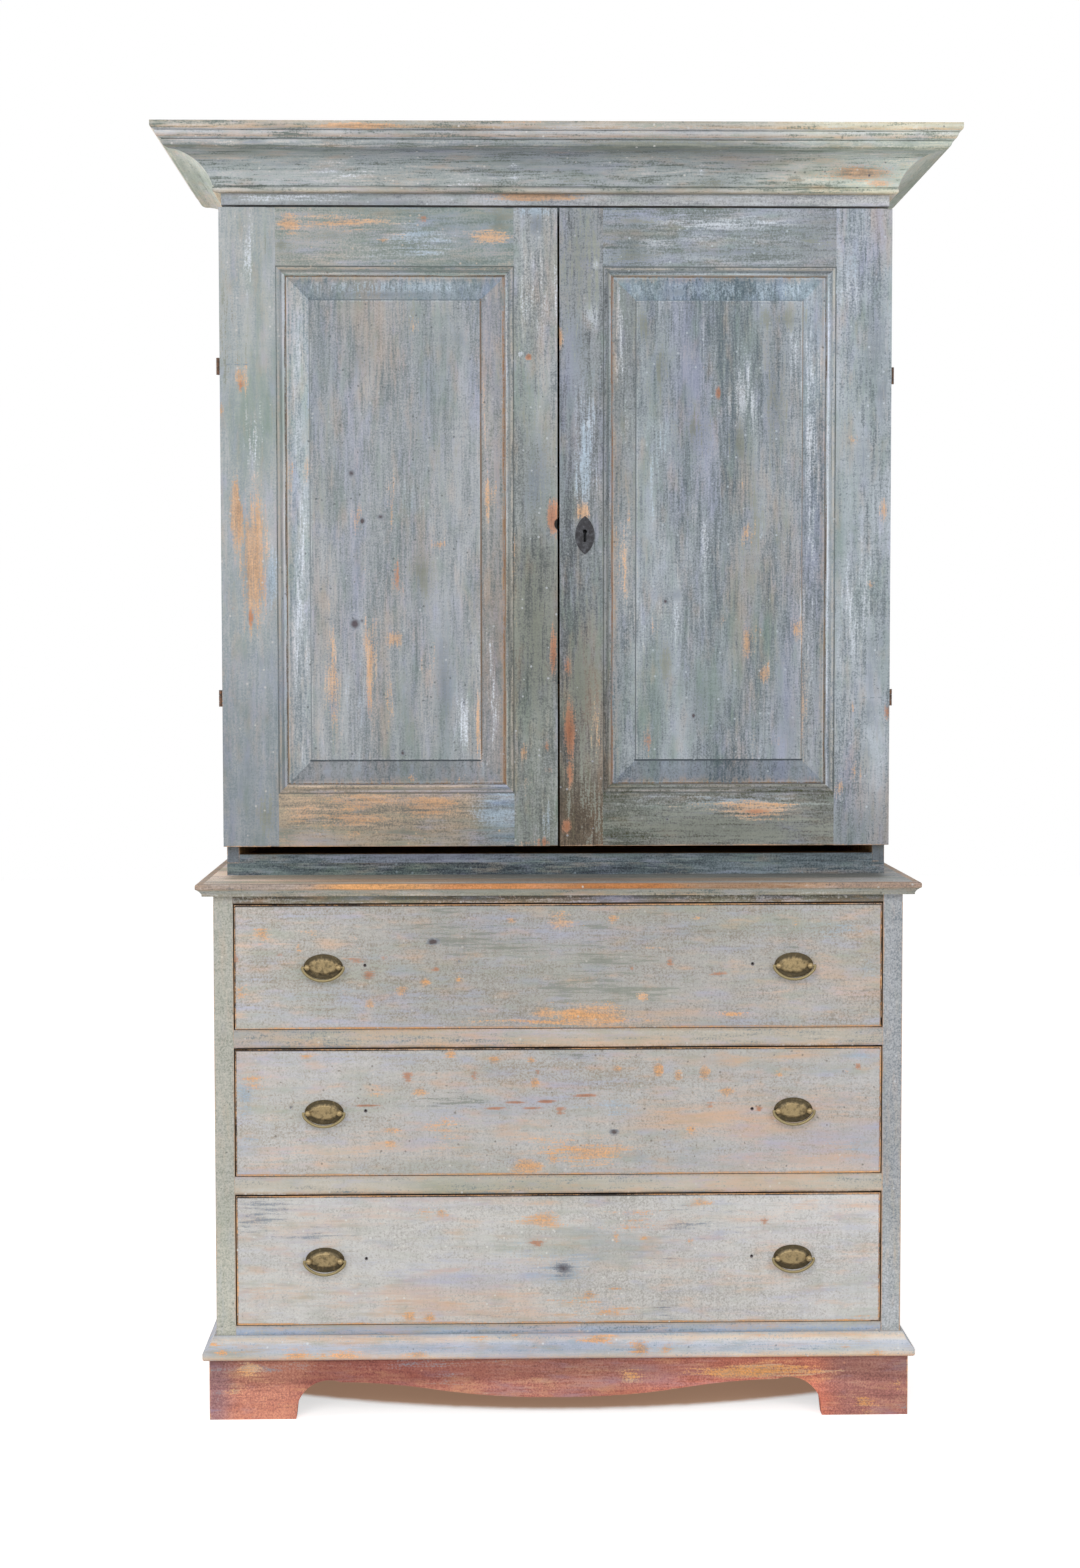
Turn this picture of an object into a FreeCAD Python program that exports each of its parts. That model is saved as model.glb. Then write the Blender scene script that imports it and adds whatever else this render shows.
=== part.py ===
import FreeCAD, Part
import math
import os

# A housekeeper's cupboard of painted pine, in millimetres.
# A chest of three drawers carries a shallower case with a pair of panelled doors under a cornice.
# X runs to the right, Y into the depth and Z up, so the doors and drawers face -Y.
# The origin is on the floor under the middle of the whole cupboard.

V = FreeCAD.Vector

# Chest
chest_width = 1098.0
chest_depth = 585.0
chest_side_thickness = 31.0
plinth_height = 97.0
plinth_thickness = 24.0
plinth_projection = 11.0
bottom_rail_height = 52.0
rail_height = 29.0
rail_depth = 60.0
top_rail_height = 13.0
drawer_opening_heights = {"lower": 212.0, "middle": 207.0, "upper": 202.0}
tenon_length = 14.0
tenon_setback = 6.0
runner_width = 25.0
runner_height = 18.0
bottom_board_thickness = 18.0
back_board_thickness = 12.0
back_rebate_width = 14.0
back_board_gap = 0.5
back_board_count = 5
housing_depth = 8.0

# Arch cut in the front of the plinth. One half of its outline, from the foot to the middle,
# is given as shares of the arch's half width and of its height.
foot_width = 138.0
arch_height = 59.5
arch_shares = [
    ((0.993, 0.437),),
    ((0.96, 0.807), (0.829, 1.0)),
    ((0.628, 0.924), (0.45, 0.756)),
    ((0.225, 0.588), (0.0, 0.546)),
]

# Mouldings of the chest. Their outlines are shares of projection and height: each step is
# the next corner, or the middle and the end of an arc.
base_moulding_height = 37.0
base_moulding_projection = 21.0
base_moulding_shares = [
    ((0.76, 0.0),),
    ((0.93, 0.04), (1.0, 0.135)),
    ((1.0, 0.325),),
    ((0.515, 0.617), (0.19, 1.0)),
    ((0.0, 1.0),),
]
top_thickness = 20.0
top_overhang = 26.0
top_moulding_width = 12.0
top_moulding_shares = [
    ((0.21, 0.0),),
    ((0.21, 0.15),),
    ((0.54, 0.41), (1.0, 0.6)),
    ((1.0, 0.85),),
    ((0.927, 0.956), (0.75, 1.0)),
    ((0.0, 1.0),),
]

# Upper case, flush with the chest at the back
case_side_inset = 9.0
case_front_setback = 134.0
case_side_thickness = 20.0
case_board_thickness = 20.0
case_rail_thickness = 22.0
sill_height = 14.0
shelf_count = 3
shelf_thickness = 20.0
shelf_setback = 32.0
rail_door_overlap = 25.0
case_top_drop = 8.0

# Cornice and the frieze strip below it. The outline runs from the bottom bead up the cove
# to the top fillet and down the sloping back.
frieze_gap = 6.0
frieze_show = 18.0
frieze_thickness = 13.0
cornice_height = 96.0
cornice_projection = 101.0
cornice_back_top_share = 0.67
cornice_back_foot_share = 0.15
cornice_shares = [
    ((0.075, 0.0),),
    ((0.13, 0.05), (0.095, 0.1)),
    ((0.125, 0.115),),
    ((0.31, 0.44), (0.745, 0.6)),
    ((0.785, 0.615),),
    ((0.83, 0.655), (0.85, 0.72)),
    ((0.835, 0.735),),
    ((0.87, 0.735),),
    ((0.915, 0.78), (0.935, 0.85)),
    ((0.92, 0.865),),
    ((0.945, 0.865),),
    ((0.985, 0.89), (1.0, 0.94)),
    ((1.0, 1.0),),
    ((cornice_back_top_share, 1.0),),
    ((0.0, cornice_back_foot_share),),
]

# Doors
door_height = 1030.0
door_sill_gap = 15.0
door_thickness = 26.0
door_overhang = 3.0
door_back_gap = 0.6
door_meeting_gap = 3.5
meeting_line_x = 3.0
hinge_stile_width = 105.0
meeting_stile_width = 85.0
door_top_rail_height = 108.0
door_bottom_rail_height = 101.0
sticking_width = 14.5
sticking_depth = 8.0
sticking_shares = [
    ((0.0, 0.19),),
    ((0.1, 0.19),),
    ((0.1, 0.09),),
    ((0.39, 0.19), (0.585, 0.45)),
    ((0.585, 0.6),),
    ((0.82, 0.725), (1.0, 1.0)),
]
panel_groove_front = 11.0
panel_groove_thickness = 6.0
panel_groove_depth = 10.0
panel_float = 2.0
panel_margin = 1.0
bevel_width = 39.0
bevel_top_depth = 4.5
field_depth = 2.5
door_tenon_length = 45.0
door_tenon_front = 10.0
door_tenon_thickness = 8.0
door_tenon_haunch = 15.0

# Hinges
hinge_height = 27.0
hinge_leaf_thickness = 1.6
door_leaf_width = 50.0
case_leaf_width = 18.0
knuckle_radius = 3.8
knuckle_clearance = 0.5
knuckle_end_gap = 0.3
pin_radius = 1.9
pin_running_gap = 0.05
nail_radius = 1.1
door_nail_shares = (0.36, 0.62, 0.88)
case_nail_shares = (0.22, 0.78)
case_nail_length = 26.0
nail_clinch_length = 6.5
nail_clinch_depth = 0.5
upper_hinge_drop = {"left": 251.0, "right": 265.0}
lower_hinge_rise = 241.0

# Lock in the right door and its escutcheon
lock_rise = 523.0
lock_width = 62.0
lock_height = 92.0
lock_case_thickness = 14.0
lock_bolt_rise = 505.0
key_backset = 41.0
keyhole_rise = 511.0
keyhole_radius = 3.6
keyhole_slot_width = 4.6
keyhole_slot_length = 17.0
keyhole_case_depth = 3.0
escutcheon_rise = 505.0
escutcheon_width = 31.5
escutcheon_height = 62.5
escutcheon_thickness = 1.2
escutcheon_edge_width = 2.4
escutcheon_relief = 0.5
lock_bolt_length = 48.0
lock_bolt_height = 14.0
lock_bolt_thickness = 6.0
lock_bolt_front = 16.0
lock_bolt_setback = 0.5
bolt_clearance = 0.2
strike_depth = 13.0
strike_clearance = 0.8
chip_radius = 12.0
chip_centre_out = 5.0
chip_centre_forward = 4.0

# Slide bolt on the back of the left door
slide_bolt_inset = 42.0
slide_bolt_size = 8.0
slide_bolt_length = 140.0
slide_bolt_top_drop = 10.0
slide_plate_width = 30.0
slide_plate_height = 112.0
slide_plate_thickness = 2.0
slide_plate_drop = 22.0
keeper_wall = 2.4
keeper_height = 12.0
keeper_inset = 5.0
slide_knob_radius = 4.5
slide_knob_length = 13.0
slide_knob_rise = 61.0
slide_socket_depth = 28.0
slide_socket_clearance = 1.0

# Drawers
drawer_front_thickness = 22.0
drawer_side_gap = 2.0
drawer_top_gap = 2.5
drawer_bottom_gap = 1.2
drawer_back_clearance = 17.0
drawer_side_thickness = 12.0
drawer_side_top_clearance = 12.0
runner_gap = 0.3
dovetail_lap = 8.0
dovetail_count = 3
dovetail_width_share = 0.5
dovetail_flare = 5.0
drawer_bottom_thickness = 8.0
drawer_bottom_rise = 10.0
drawer_groove_depth = 6.0
drawer_back_drop = 6.0
drawer_stop_width = 40.0
drawer_stop_length = 18.0
drawer_stop_height = 6.0
drawer_stop_inset = 150.0

# Bail handles
pull_end_inset = 141.0
plate_half_width = 31.0
plate_half_height = 20.0
plate_thickness = 1.3
plate_boss_margin = 6.0
plate_boss_slope = 4.5
plate_boss_rise = 2.4
post_half_spacing = 25.0
post_radius = 2.5
post_head_radius = 4.6
post_reach = 12.0
nut_radius = 6.0
nut_thickness = 4.0
bail_half_width = 32.4
bail_drop = 21.5
bail_corner_radius = 13.0
bail_wire_radius = 2.3
bail_tip_radius = 1.7
bail_tip_length = 6.5
bail_running_gap = 0.05
old_hole_inset = 66.0
old_hole_radius = 1.6
old_hole_depth = 9.0
old_hole_rise = 2.5

# Blocks glued in corners
corner_block_size = 38.0
corner_block_height = 70.0
cornice_block_length = 60.0
cornice_block_size = 40.0
cornice_block_front_count = 5
cornice_block_side_count = 2

# Places that follow from the sizes above
front_edge_y = -(chest_depth + top_overhang) / 2
chest_front_y = front_edge_y + top_overhang
back_y = chest_front_y + chest_depth
case_front_y = chest_front_y + case_front_setback
door_back_y = case_front_y - door_back_gap
door_front_y = door_back_y - door_thickness
frieze_front_y = case_front_y - frieze_thickness
case_width = chest_width - 2 * case_side_inset
case_depth = chest_depth - case_front_setback
drawer_length = chest_depth - back_board_thickness - drawer_back_clearance
chest_half = chest_width / 2
chest_inner = chest_half - chest_side_thickness
pull_half_spacing = chest_inner - drawer_side_gap - pull_end_inset
old_hole_half_spacing = pull_half_spacing - old_hole_inset
case_half = case_width / 2
case_inner = case_half - case_side_thickness
door_outer = case_half + door_overhang

drawer_names = list(drawer_opening_heights)
opening_bottoms = {}
next_bottom = plinth_height + bottom_rail_height
for drawer_name in drawer_names:
    opening_bottoms[drawer_name] = next_bottom
    next_bottom = next_bottom + drawer_opening_heights[drawer_name] + rail_height
top_rail_bottom_z = next_bottom - rail_height
chest_top_z = top_rail_bottom_z + top_rail_height
waist_z = chest_top_z + top_thickness
case_floor_z = waist_z + case_board_thickness
sill_top_z = case_floor_z + sill_height
door_bottom_z = sill_top_z + door_sill_gap
door_top_z = door_bottom_z + door_height
frieze_bottom_z = door_top_z + frieze_gap
cornice_bottom_z = frieze_bottom_z + frieze_show
cornice_top_z = cornice_bottom_z + cornice_height
case_top_z = cornice_top_z - case_top_drop
case_ceiling_z = case_top_z - case_board_thickness
case_rail_bottom_z = door_top_z - rail_door_overlap

hinge_axis_x = door_outer + knuckle_radius + knuckle_clearance
hinge_axis_y = case_front_y - door_back_gap / 2
left_meeting_x = meeting_line_x - door_meeting_gap / 2
right_meeting_x = meeting_line_x + door_meeting_gap / 2
left_door_width = left_meeting_x + door_outer
right_door_width = door_outer - right_meeting_x


def box(x_low, x_high, y_low, y_high, z_low, z_high):
    return Part.makeBox(x_high - x_low, y_high - y_low, z_high - z_low, V(x_low, y_low, z_low))


def mirrored(shape):
    """The same shape on the other side of the middle plane X = 0."""
    return shape.mirror(V(0, 0, 0), V(1, 0, 0))


def all_mirrored(shapes):
    return [mirrored(shape) for shape in shapes]


def joined(shapes):
    return shapes[0].multiFuse(shapes[1:]).removeSplitter()


def cut_away(shape, tools):
    return shape.cut(tools) if tools else shape


def rod(radius, start, along):
    """A round bar from start, as long as the vector along."""
    return Part.makeCylinder(radius, along.Length, start, along)


def flat_face(start, steps, place):
    """A closed flat face: each step is the next corner, or an arc's middle point and its end."""
    edges = []
    here = start
    for step in steps + [(start,)]:
        there = step[-1]
        if len(step) == 1:
            edges.append(Part.LineSegment(place(*here), place(*there)).toShape())
        else:
            edges.append(Part.Arc(place(*here), place(*step[0]), place(*there)).toShape())
        here = there
    return Part.Face(Part.Wire(edges))


def polygon_prism(corners, place, along):
    return flat_face(corners[0], [(corner,) for corner in corners[1:]], place).extrude(along)


# Mouldings run along the front and back along both sides, mitred at the front corners.

def real_steps(shares, width, height, low):
    """An outline given in shares, at its real width and height above low."""
    return [tuple((across * width, low + up * height) for across, up in step) for step in shares]


def wrapped_moulding(shares, reach, height, low, half_width, face_y):
    steps = real_steps(shares, reach, height, low)
    front = flat_face((0, low), steps, lambda p, z: V(-half_width - reach, face_y - p, z))
    front = front.extrude(V(2 * (half_width + reach), 0, 0))
    front_plan = polygon_prism(
        [(-half_width, face_y), (half_width, face_y),
         (half_width + reach, face_y - reach), (-half_width - reach, face_y - reach)],
        lambda x, y: V(x, y, low), V(0, 0, height))
    side = flat_face((0, low), steps, lambda p, z: V(half_width + p, face_y - reach, z))
    side = side.extrude(V(0, back_y - face_y + reach, 0))
    side_plan = polygon_prism(
        [(half_width, face_y), (half_width, back_y),
         (half_width + reach, back_y), (half_width + reach, face_y - reach)],
        lambda x, y: V(x, y, low), V(0, 0, height))
    right = side.common(side_plan)
    return [front.common(front_plan), mirrored(right), right]


def base_moulding():
    return wrapped_moulding(base_moulding_shares, base_moulding_projection, base_moulding_height,
                            plinth_height, chest_half, chest_front_y)


def top_moulding():
    return wrapped_moulding(top_moulding_shares, top_moulding_width, top_thickness, chest_top_z,
                            chest_half + top_overhang - top_moulding_width,
                            front_edge_y + top_moulding_width)


def cornice():
    return wrapped_moulding(cornice_shares, cornice_projection, cornice_height, cornice_bottom_z,
                            case_half, frieze_front_y)


# Chest

def rail_levels():
    """Bottom and top of each front rail: bottom rail, two dividers, top rail."""
    levels = [(plinth_height, plinth_height + bottom_rail_height)]
    for name in drawer_names[:-1]:
        low = opening_bottoms[name] + drawer_opening_heights[name]
        levels.append((low, low + rail_height))
    levels.append((top_rail_bottom_z, chest_top_z))
    return levels


def rail_tenons(low, high):
    """The two stub tenons of one rail, hidden from the front."""
    y_low = chest_front_y + tenon_setback
    right = box(chest_inner, chest_inner + tenon_length, y_low, chest_front_y + rail_depth, low, high)
    return [right, mirrored(right)]


def drawer_rails():
    rails = []
    for low, high in rail_levels():
        rail = box(-chest_inner, chest_inner, chest_front_y, chest_front_y + rail_depth, low, high)
        rails.append(joined([rail] + rail_tenons(low, high)))
    return rails


def bottom_board():
    top = opening_bottoms[drawer_names[0]] - runner_height
    return box(-chest_inner - housing_depth, chest_inner + housing_depth,
               chest_front_y + rail_depth, back_y - back_board_thickness, top - bottom_board_thickness, top)


def base_sides():
    right = box(chest_inner, chest_half, chest_front_y, back_y, plinth_height, chest_top_z)
    tools = [box(chest_inner, chest_inner + back_rebate_width, back_y - back_board_thickness, back_y,
                 plinth_height, chest_top_z), bottom_board()]
    for low, high in rail_levels():
        tools.append(rail_tenons(low, high)[0])
    right = cut_away(right, tools)
    return mirrored(right), right


def drawer_runners():
    runners = []
    for name in drawer_names:
        top = opening_bottoms[name]
        right = box(chest_inner - runner_width, chest_inner, chest_front_y + rail_depth,
                    back_y - back_board_thickness, top - runner_height, top)
        runners += [mirrored(right), right]
    return runners


def back_boards(half, low, high):
    """Upright boards side by side across one back."""
    board_width = 2 * half / back_board_count
    boards = []
    for number in range(back_board_count):
        left = -half + number * board_width
        boards.append(box(left, left + board_width - back_board_gap, back_y - back_board_thickness, back_y,
                          low, high))
    return boards


def plinth_front():
    """Front board of the plinth with its arch, drawn from the left foot over to the right one."""
    outer = chest_half + plinth_projection
    y_low = chest_front_y - plinth_projection
    arch_half = outer - foot_width
    rising = real_steps(arch_shares, -arch_half, arch_height, 0)
    falling = real_steps(arch_shares, arch_half, arch_height, 0)
    steps = list(rising)
    for number in range(len(falling) - 1, 0, -1):
        steps.append((falling[number][0], falling[number - 1][-1]))
    steps += [((arch_half, 0),), ((outer, 0),), ((outer, plinth_height),), ((-outer, plinth_height),),
              ((-outer, 0),)]
    face = flat_face((-arch_half, 0), steps, lambda x, z: V(x, y_low, z))
    return face.extrude(V(0, plinth_thickness, 0))


def plinth_boards():
    outer = chest_half + plinth_projection
    y_low = chest_front_y - plinth_projection + plinth_thickness
    right = box(outer - plinth_thickness, outer, y_low, back_y, 0, plinth_height)
    back = box(plinth_thickness - outer, outer - plinth_thickness, back_y - plinth_thickness, back_y,
               0, plinth_height)
    return [mirrored(right), right, back]


def top_board():
    half = chest_half + top_overhang - top_moulding_width
    return box(-half, half, front_edge_y + top_moulding_width, back_y, chest_top_z, waist_z)


# Upper case

def shelf_bottoms():
    clear = (case_ceiling_z - case_floor_z - shelf_count * shelf_thickness) / (shelf_count + 1)
    return [case_floor_z + clear + number * (clear + shelf_thickness) for number in range(shelf_count)]


def shelves():
    half = case_inner + housing_depth
    return [box(-half, half, case_front_y + shelf_setback, back_y - back_board_thickness,
                low, low + shelf_thickness) for low in shelf_bottoms()]


def upper_sides():
    right = box(case_inner, case_half, case_front_y, back_y, case_floor_z, case_ceiling_z)
    tools = [box(case_inner, case_inner + back_rebate_width, back_y - back_board_thickness, back_y,
                 case_floor_z, case_ceiling_z)]
    tools += shelves()
    left_leaves = [case_leaf(z) for z in hinge_bottoms("left")]
    right_leaves = [mirrored(case_leaf(z)) for z in hinge_bottoms("right")]
    left_nails = [nail for z in hinge_bottoms("left") for nail in case_nails(z)]
    right_nails = [mirrored(nail) for z in hinge_bottoms("right") for nail in case_nails(z)]
    return (cut_away(mirrored(right), all_mirrored(tools) + left_leaves + left_nails),
            cut_away(right, tools + right_leaves + right_nails))


def upper_rail():
    """The rail that the door tops close against, with the socket for the slide bolt."""
    rail = box(-case_inner, case_inner, case_front_y, case_front_y + case_rail_thickness,
               case_rail_bottom_z, case_ceiling_z)
    reach = slide_bolt_size / 2 + slide_socket_clearance
    centre_x = left_meeting_x - slide_bolt_inset
    centre_y = door_back_y + slide_plate_thickness + bolt_clearance + slide_bolt_size / 2
    socket = box(centre_x - reach, centre_x + reach, centre_y - reach, centre_y + reach,
                 case_rail_bottom_z, case_rail_bottom_z + slide_socket_depth)
    return rail.cut(socket)


def sill():
    return box(-case_inner, case_inner, case_front_y, case_front_y + case_rail_thickness,
               case_floor_z, sill_top_z)


def frieze():
    return box(-case_half, case_half, frieze_front_y, case_front_y, frieze_bottom_z, case_top_z)


def cornice_blocks():
    """Three-sided blocks glued behind the sprung cornice."""
    size = cornice_block_size
    low = case_top_z - size
    blocks = []
    foot_height = cornice_bottom_z + cornice_back_foot_share * cornice_height
    slope = cornice_back_top_share * cornice_projection / (cornice_top_z - foot_height)
    reach_low = (low - foot_height) * slope
    reach_high = (case_top_z - foot_height) * slope
    corners = [(0, low), (reach_low, low), (reach_high, case_top_z), (0, case_top_z)]
    pitch = case_width / cornice_block_front_count
    for number in range(cornice_block_front_count):
        x_low = -case_half + (number + 0.5) * pitch - cornice_block_length / 2
        blocks.append(polygon_prism(corners, lambda p, z: V(x_low, frieze_front_y - p, z),
                                    V(cornice_block_length, 0, 0)))
    pitch = case_depth / cornice_block_side_count
    for number in range(cornice_block_side_count):
        y_low = case_front_y + (number + 0.5) * pitch - cornice_block_length / 2
        block = polygon_prism(corners, lambda p, z: V(case_half + p, y_low, z), V(0, cornice_block_length, 0))
        blocks += [mirrored(block), block]
    return blocks


def corner_blocks():
    """Square blocks in the four corners inside the plinth."""
    outer = chest_half + plinth_projection - plinth_thickness
    y_front = chest_front_y - plinth_projection + plinth_thickness
    y_back = back_y - plinth_thickness
    blocks = []
    for y_low in (y_front, y_back - corner_block_size):
        right = box(outer - corner_block_size, outer, y_low, y_low + corner_block_size,
                    plinth_height - corner_block_height, plinth_height)
        blocks += [mirrored(right), right]
    return blocks


def drawer_stops():
    """Small blocks on the rails that the drawer fronts close against."""
    y_low = chest_front_y + drawer_front_thickness
    stops = []
    for name in drawer_names:
        z_low = opening_bottoms[name]
        x_low = chest_inner - drawer_stop_inset - drawer_stop_width
        right = box(x_low, x_low + drawer_stop_width, y_low + runner_gap, y_low + drawer_stop_length,
                    z_low, z_low + drawer_stop_height)
        stops += [mirrored(right), right]
    return stops


# Hinges, drawn at the left side: leaf, knuckles and pin stand outside the door's edge.

def hinge_bottoms(side):
    upper = door_top_z - upper_hinge_drop[side] - hinge_height / 2
    lower = door_bottom_z + lower_hinge_rise - hinge_height / 2
    return [lower, upper]


def knuckle(z_low, z_high):
    return rod(knuckle_radius, V(-hinge_axis_x, hinge_axis_y, z_low), V(0, 0, z_high - z_low))


def case_leaf(z):
    third = hinge_height / 3
    gap = knuckle_end_gap / 2
    leaf = box(-case_half, -case_half + case_leaf_width, case_front_y, case_front_y + hinge_leaf_thickness,
               z, z + hinge_height)
    pieces = [leaf]
    for low, high in ((z, z + third - gap), (z + 2 * third + gap, z + hinge_height)):
        pieces.append(box(-hinge_axis_x, -case_half, case_front_y, case_front_y + hinge_leaf_thickness,
                          low, high))
        pieces.append(knuckle(low, high))
    pieces.append(rod(pin_radius, V(-hinge_axis_x, hinge_axis_y, z), V(0, 0, hinge_height)))
    return joined(pieces)


def door_leaf(z):
    third = hinge_height / 3
    gap = knuckle_end_gap / 2
    low = z + third + gap
    high = z + 2 * third - gap
    leaf = box(-door_outer, -door_outer + door_leaf_width, door_back_y - hinge_leaf_thickness, door_back_y,
               z, z + hinge_height)
    tab = box(-hinge_axis_x, -door_outer, door_back_y - hinge_leaf_thickness, door_back_y, low, high)
    bore = rod(pin_radius + pin_running_gap, V(-hinge_axis_x, hinge_axis_y, low), V(0, 0, high - low))
    return joined([leaf, tab, knuckle(low, high)]).cut(bore)


def door_nails(z):
    """Nails through leaf and stile, with their points clinched over on the door's front."""
    nails = []
    middle = z + hinge_height / 2
    for share in door_nail_shares:
        x = -door_outer + share * door_leaf_width
        shank = rod(nail_radius, V(x, door_front_y, middle), V(0, door_thickness, 0))
        clinch = rod(nail_radius, V(x - nail_clinch_length, door_front_y + nail_clinch_depth, middle),
                     V(nail_clinch_length + nail_radius, 0, 0))
        nails.append(joined([shank, clinch]))
    return nails


def case_nails(z):
    x = -case_half + case_leaf_width / 2
    nails = []
    for share in case_nail_shares:
        nails.append(rod(nail_radius, V(x, case_front_y, z + share * hinge_height),
                         V(0, case_nail_length, 0)))
    return nails


def case_hinges():
    pieces = []
    for side in ("left", "right"):
        for z in hinge_bottoms(side):
            nails = case_nails(z)
            group = [cut_away(case_leaf(z), nails)] + nails
            pieces += group if side == "left" else all_mirrored(group)
    return pieces


def door_hinges(side):
    """Both door leaves of one door with their nails, drawn at the left side."""
    pieces = []
    for z in hinge_bottoms(side):
        nails = door_nails(z)
        pieces.append(cut_away(door_leaf(z), nails))
        pieces += nails
    return pieces


# Doors, drawn as a left door: hinge stile at -X, front face at -Y.

class DoorPlan:
    """Places of one door's parts that follow from its width."""

    def __init__(self, side, width):
        self.side = side
        self.x_low = -door_outer
        self.x_high = self.x_low + width
        self.open_x_low = self.x_low + hinge_stile_width
        self.open_x_high = self.x_high - meeting_stile_width
        self.open_z_low = door_bottom_z + door_bottom_rail_height
        self.open_z_high = door_top_z - door_top_rail_height


left_plan = DoorPlan("left", left_door_width)
right_plan = DoorPlan("right", right_door_width)


def sticking_face(place):
    """Section of the moulded inner edge: across from the flat, and deep from the door's front."""
    groove_back = panel_groove_front + panel_groove_thickness
    groove_bottom = sticking_width - panel_groove_depth
    steps = real_steps(sticking_shares, sticking_width, sticking_depth, 0)
    steps += [((sticking_width, panel_groove_front),),
              ((groove_bottom, panel_groove_front),),
              ((groove_bottom, groove_back),),
              ((sticking_width, groove_back),),
              ((sticking_width, door_thickness),),
              ((0, door_thickness),)]
    return flat_face(steps[0][0], steps[1:], place)


def sticking(plan, edge):
    """The moulded strip along one edge of the panel opening, mitred at both ends."""
    a, b = plan.open_x_low, plan.open_x_high
    c, d = plan.open_z_low, plan.open_z_high
    w = sticking_width
    if edge == "left":
        face = sticking_face(lambda s, deep: V(a - w + s, door_front_y + deep, c - w))
        bar = face.extrude(V(0, 0, d - c + 2 * w))
        corners = [(a - w, c - w), (a, c), (a, d), (a - w, d + w)]
    elif edge == "right":
        face = sticking_face(lambda s, deep: V(b + w - s, door_front_y + deep, c - w))
        bar = face.extrude(V(0, 0, d - c + 2 * w))
        corners = [(b + w, c - w), (b, c), (b, d), (b + w, d + w)]
    elif edge == "bottom":
        face = sticking_face(lambda s, deep: V(a - w, door_front_y + deep, c - w + s))
        bar = face.extrude(V(b - a + 2 * w, 0, 0))
        corners = [(a - w, c - w), (b + w, c - w), (b, c), (a, c)]
    else:
        face = sticking_face(lambda s, deep: V(a - w, door_front_y + deep, d + w - s))
        bar = face.extrude(V(b - a + 2 * w, 0, 0))
        corners = [(a - w, d + w), (b + w, d + w), (b, d), (a, d)]
    prism = polygon_prism(corners, lambda x, z: V(x, door_front_y, z), V(0, door_thickness, 0))
    return bar.common(prism)


def rail_limits(plan, rail):
    """Flat part of a door rail: its bottom and top, and its tenons' bottom and top."""
    if rail == "top":
        low = plan.open_z_high + sticking_width
        return low, door_top_z, low, door_top_z - door_tenon_haunch
    high = plan.open_z_low - sticking_width
    return door_bottom_z, high, door_bottom_z + door_tenon_haunch, high


def door_tenons(plan, rail):
    low, high, tenon_low, tenon_high = rail_limits(plan, rail)
    y_low = door_front_y + door_tenon_front
    left_end = plan.open_x_low - sticking_width
    right_end = plan.open_x_high + sticking_width
    return [box(left_end - door_tenon_length, left_end, y_low, y_low + door_tenon_thickness,
                tenon_low, tenon_high),
            box(right_end, right_end + door_tenon_length, y_low, y_low + door_tenon_thickness,
                tenon_low, tenon_high)]


def door_rail(plan, rail):
    low, high, tenon_low, tenon_high = rail_limits(plan, rail)
    flat = box(plan.open_x_low - sticking_width, plan.open_x_high + sticking_width,
               door_front_y, door_back_y, low, high)
    return joined([flat, sticking(plan, rail)] + door_tenons(plan, rail))


def hinge_stile(plan):
    flat = box(plan.x_low, plan.open_x_low - sticking_width, door_front_y, door_back_y,
               door_bottom_z, door_top_z)
    stile = joined([flat, sticking(plan, "left")])
    tools = [door_tenons(plan, rail)[0] for rail in ("top", "bottom")]
    for z in hinge_bottoms(plan.side):
        tools.append(door_leaf(z))
        tools += door_nails(z)
    return cut_away(stile, tools)


def meeting_stile(plan):
    flat = box(plan.open_x_high + sticking_width, plan.x_high, door_front_y, door_back_y,
               door_bottom_z, door_top_z)
    stile = joined([flat, sticking(plan, "right")])
    tools = [door_tenons(plan, rail)[1] for rail in ("top", "bottom")]
    tools += strike_cuts(plan) if plan.side == "left" else lock_cuts(plan)
    return cut_away(stile, tools)


def rectangle(x_low, x_high, z_low, z_high, y):
    corners = [V(x_low, y, z_low), V(x_high, y, z_low), V(x_high, y, z_high), V(x_low, y, z_high)]
    return Part.makePolygon(corners + corners[:1])


def door_panel(plan):
    """A raised panel: tongue, sloping border and a raised field."""
    tongue_out = panel_groove_depth - panel_float
    front = door_front_y + panel_groove_front
    tongue = box(plan.open_x_low - tongue_out, plan.open_x_high + tongue_out,
                 front, front + panel_groove_thickness,
                 plan.open_z_low - tongue_out, plan.open_z_high + tongue_out)


    def outline(inset, y):
        return rectangle(plan.open_x_low + inset, plan.open_x_high - inset,
                         plan.open_z_low + inset, plan.open_z_high - inset, y)

    slope = Part.makeLoft([outline(panel_margin, front), outline(bevel_width, door_front_y + bevel_top_depth)],
                          True, True)
    field = Part.Face(outline(bevel_width, door_front_y + field_depth))
    field = field.extrude(V(0, bevel_top_depth - field_depth, 0))
    return joined([tongue, slope, field])


# Lock of the right door, drawn with the meeting edge at the right of a left-hand plan.

def lock_case_box(plan):
    y_high = door_back_y
    z_middle = door_bottom_z + lock_rise
    return box(plan.x_high - lock_width, plan.x_high, y_high - lock_case_thickness, y_high,
               z_middle - lock_height / 2, z_middle + lock_height / 2)


def lock_bolt(plan):
    x_high = plan.x_high - lock_bolt_setback
    y_low = door_front_y + lock_bolt_front
    z_middle = door_bottom_z + lock_rise
    return box(x_high - lock_bolt_length, x_high, y_low, y_low + lock_bolt_thickness,
               z_middle - lock_bolt_height / 2, z_middle + lock_bolt_height / 2)


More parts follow.
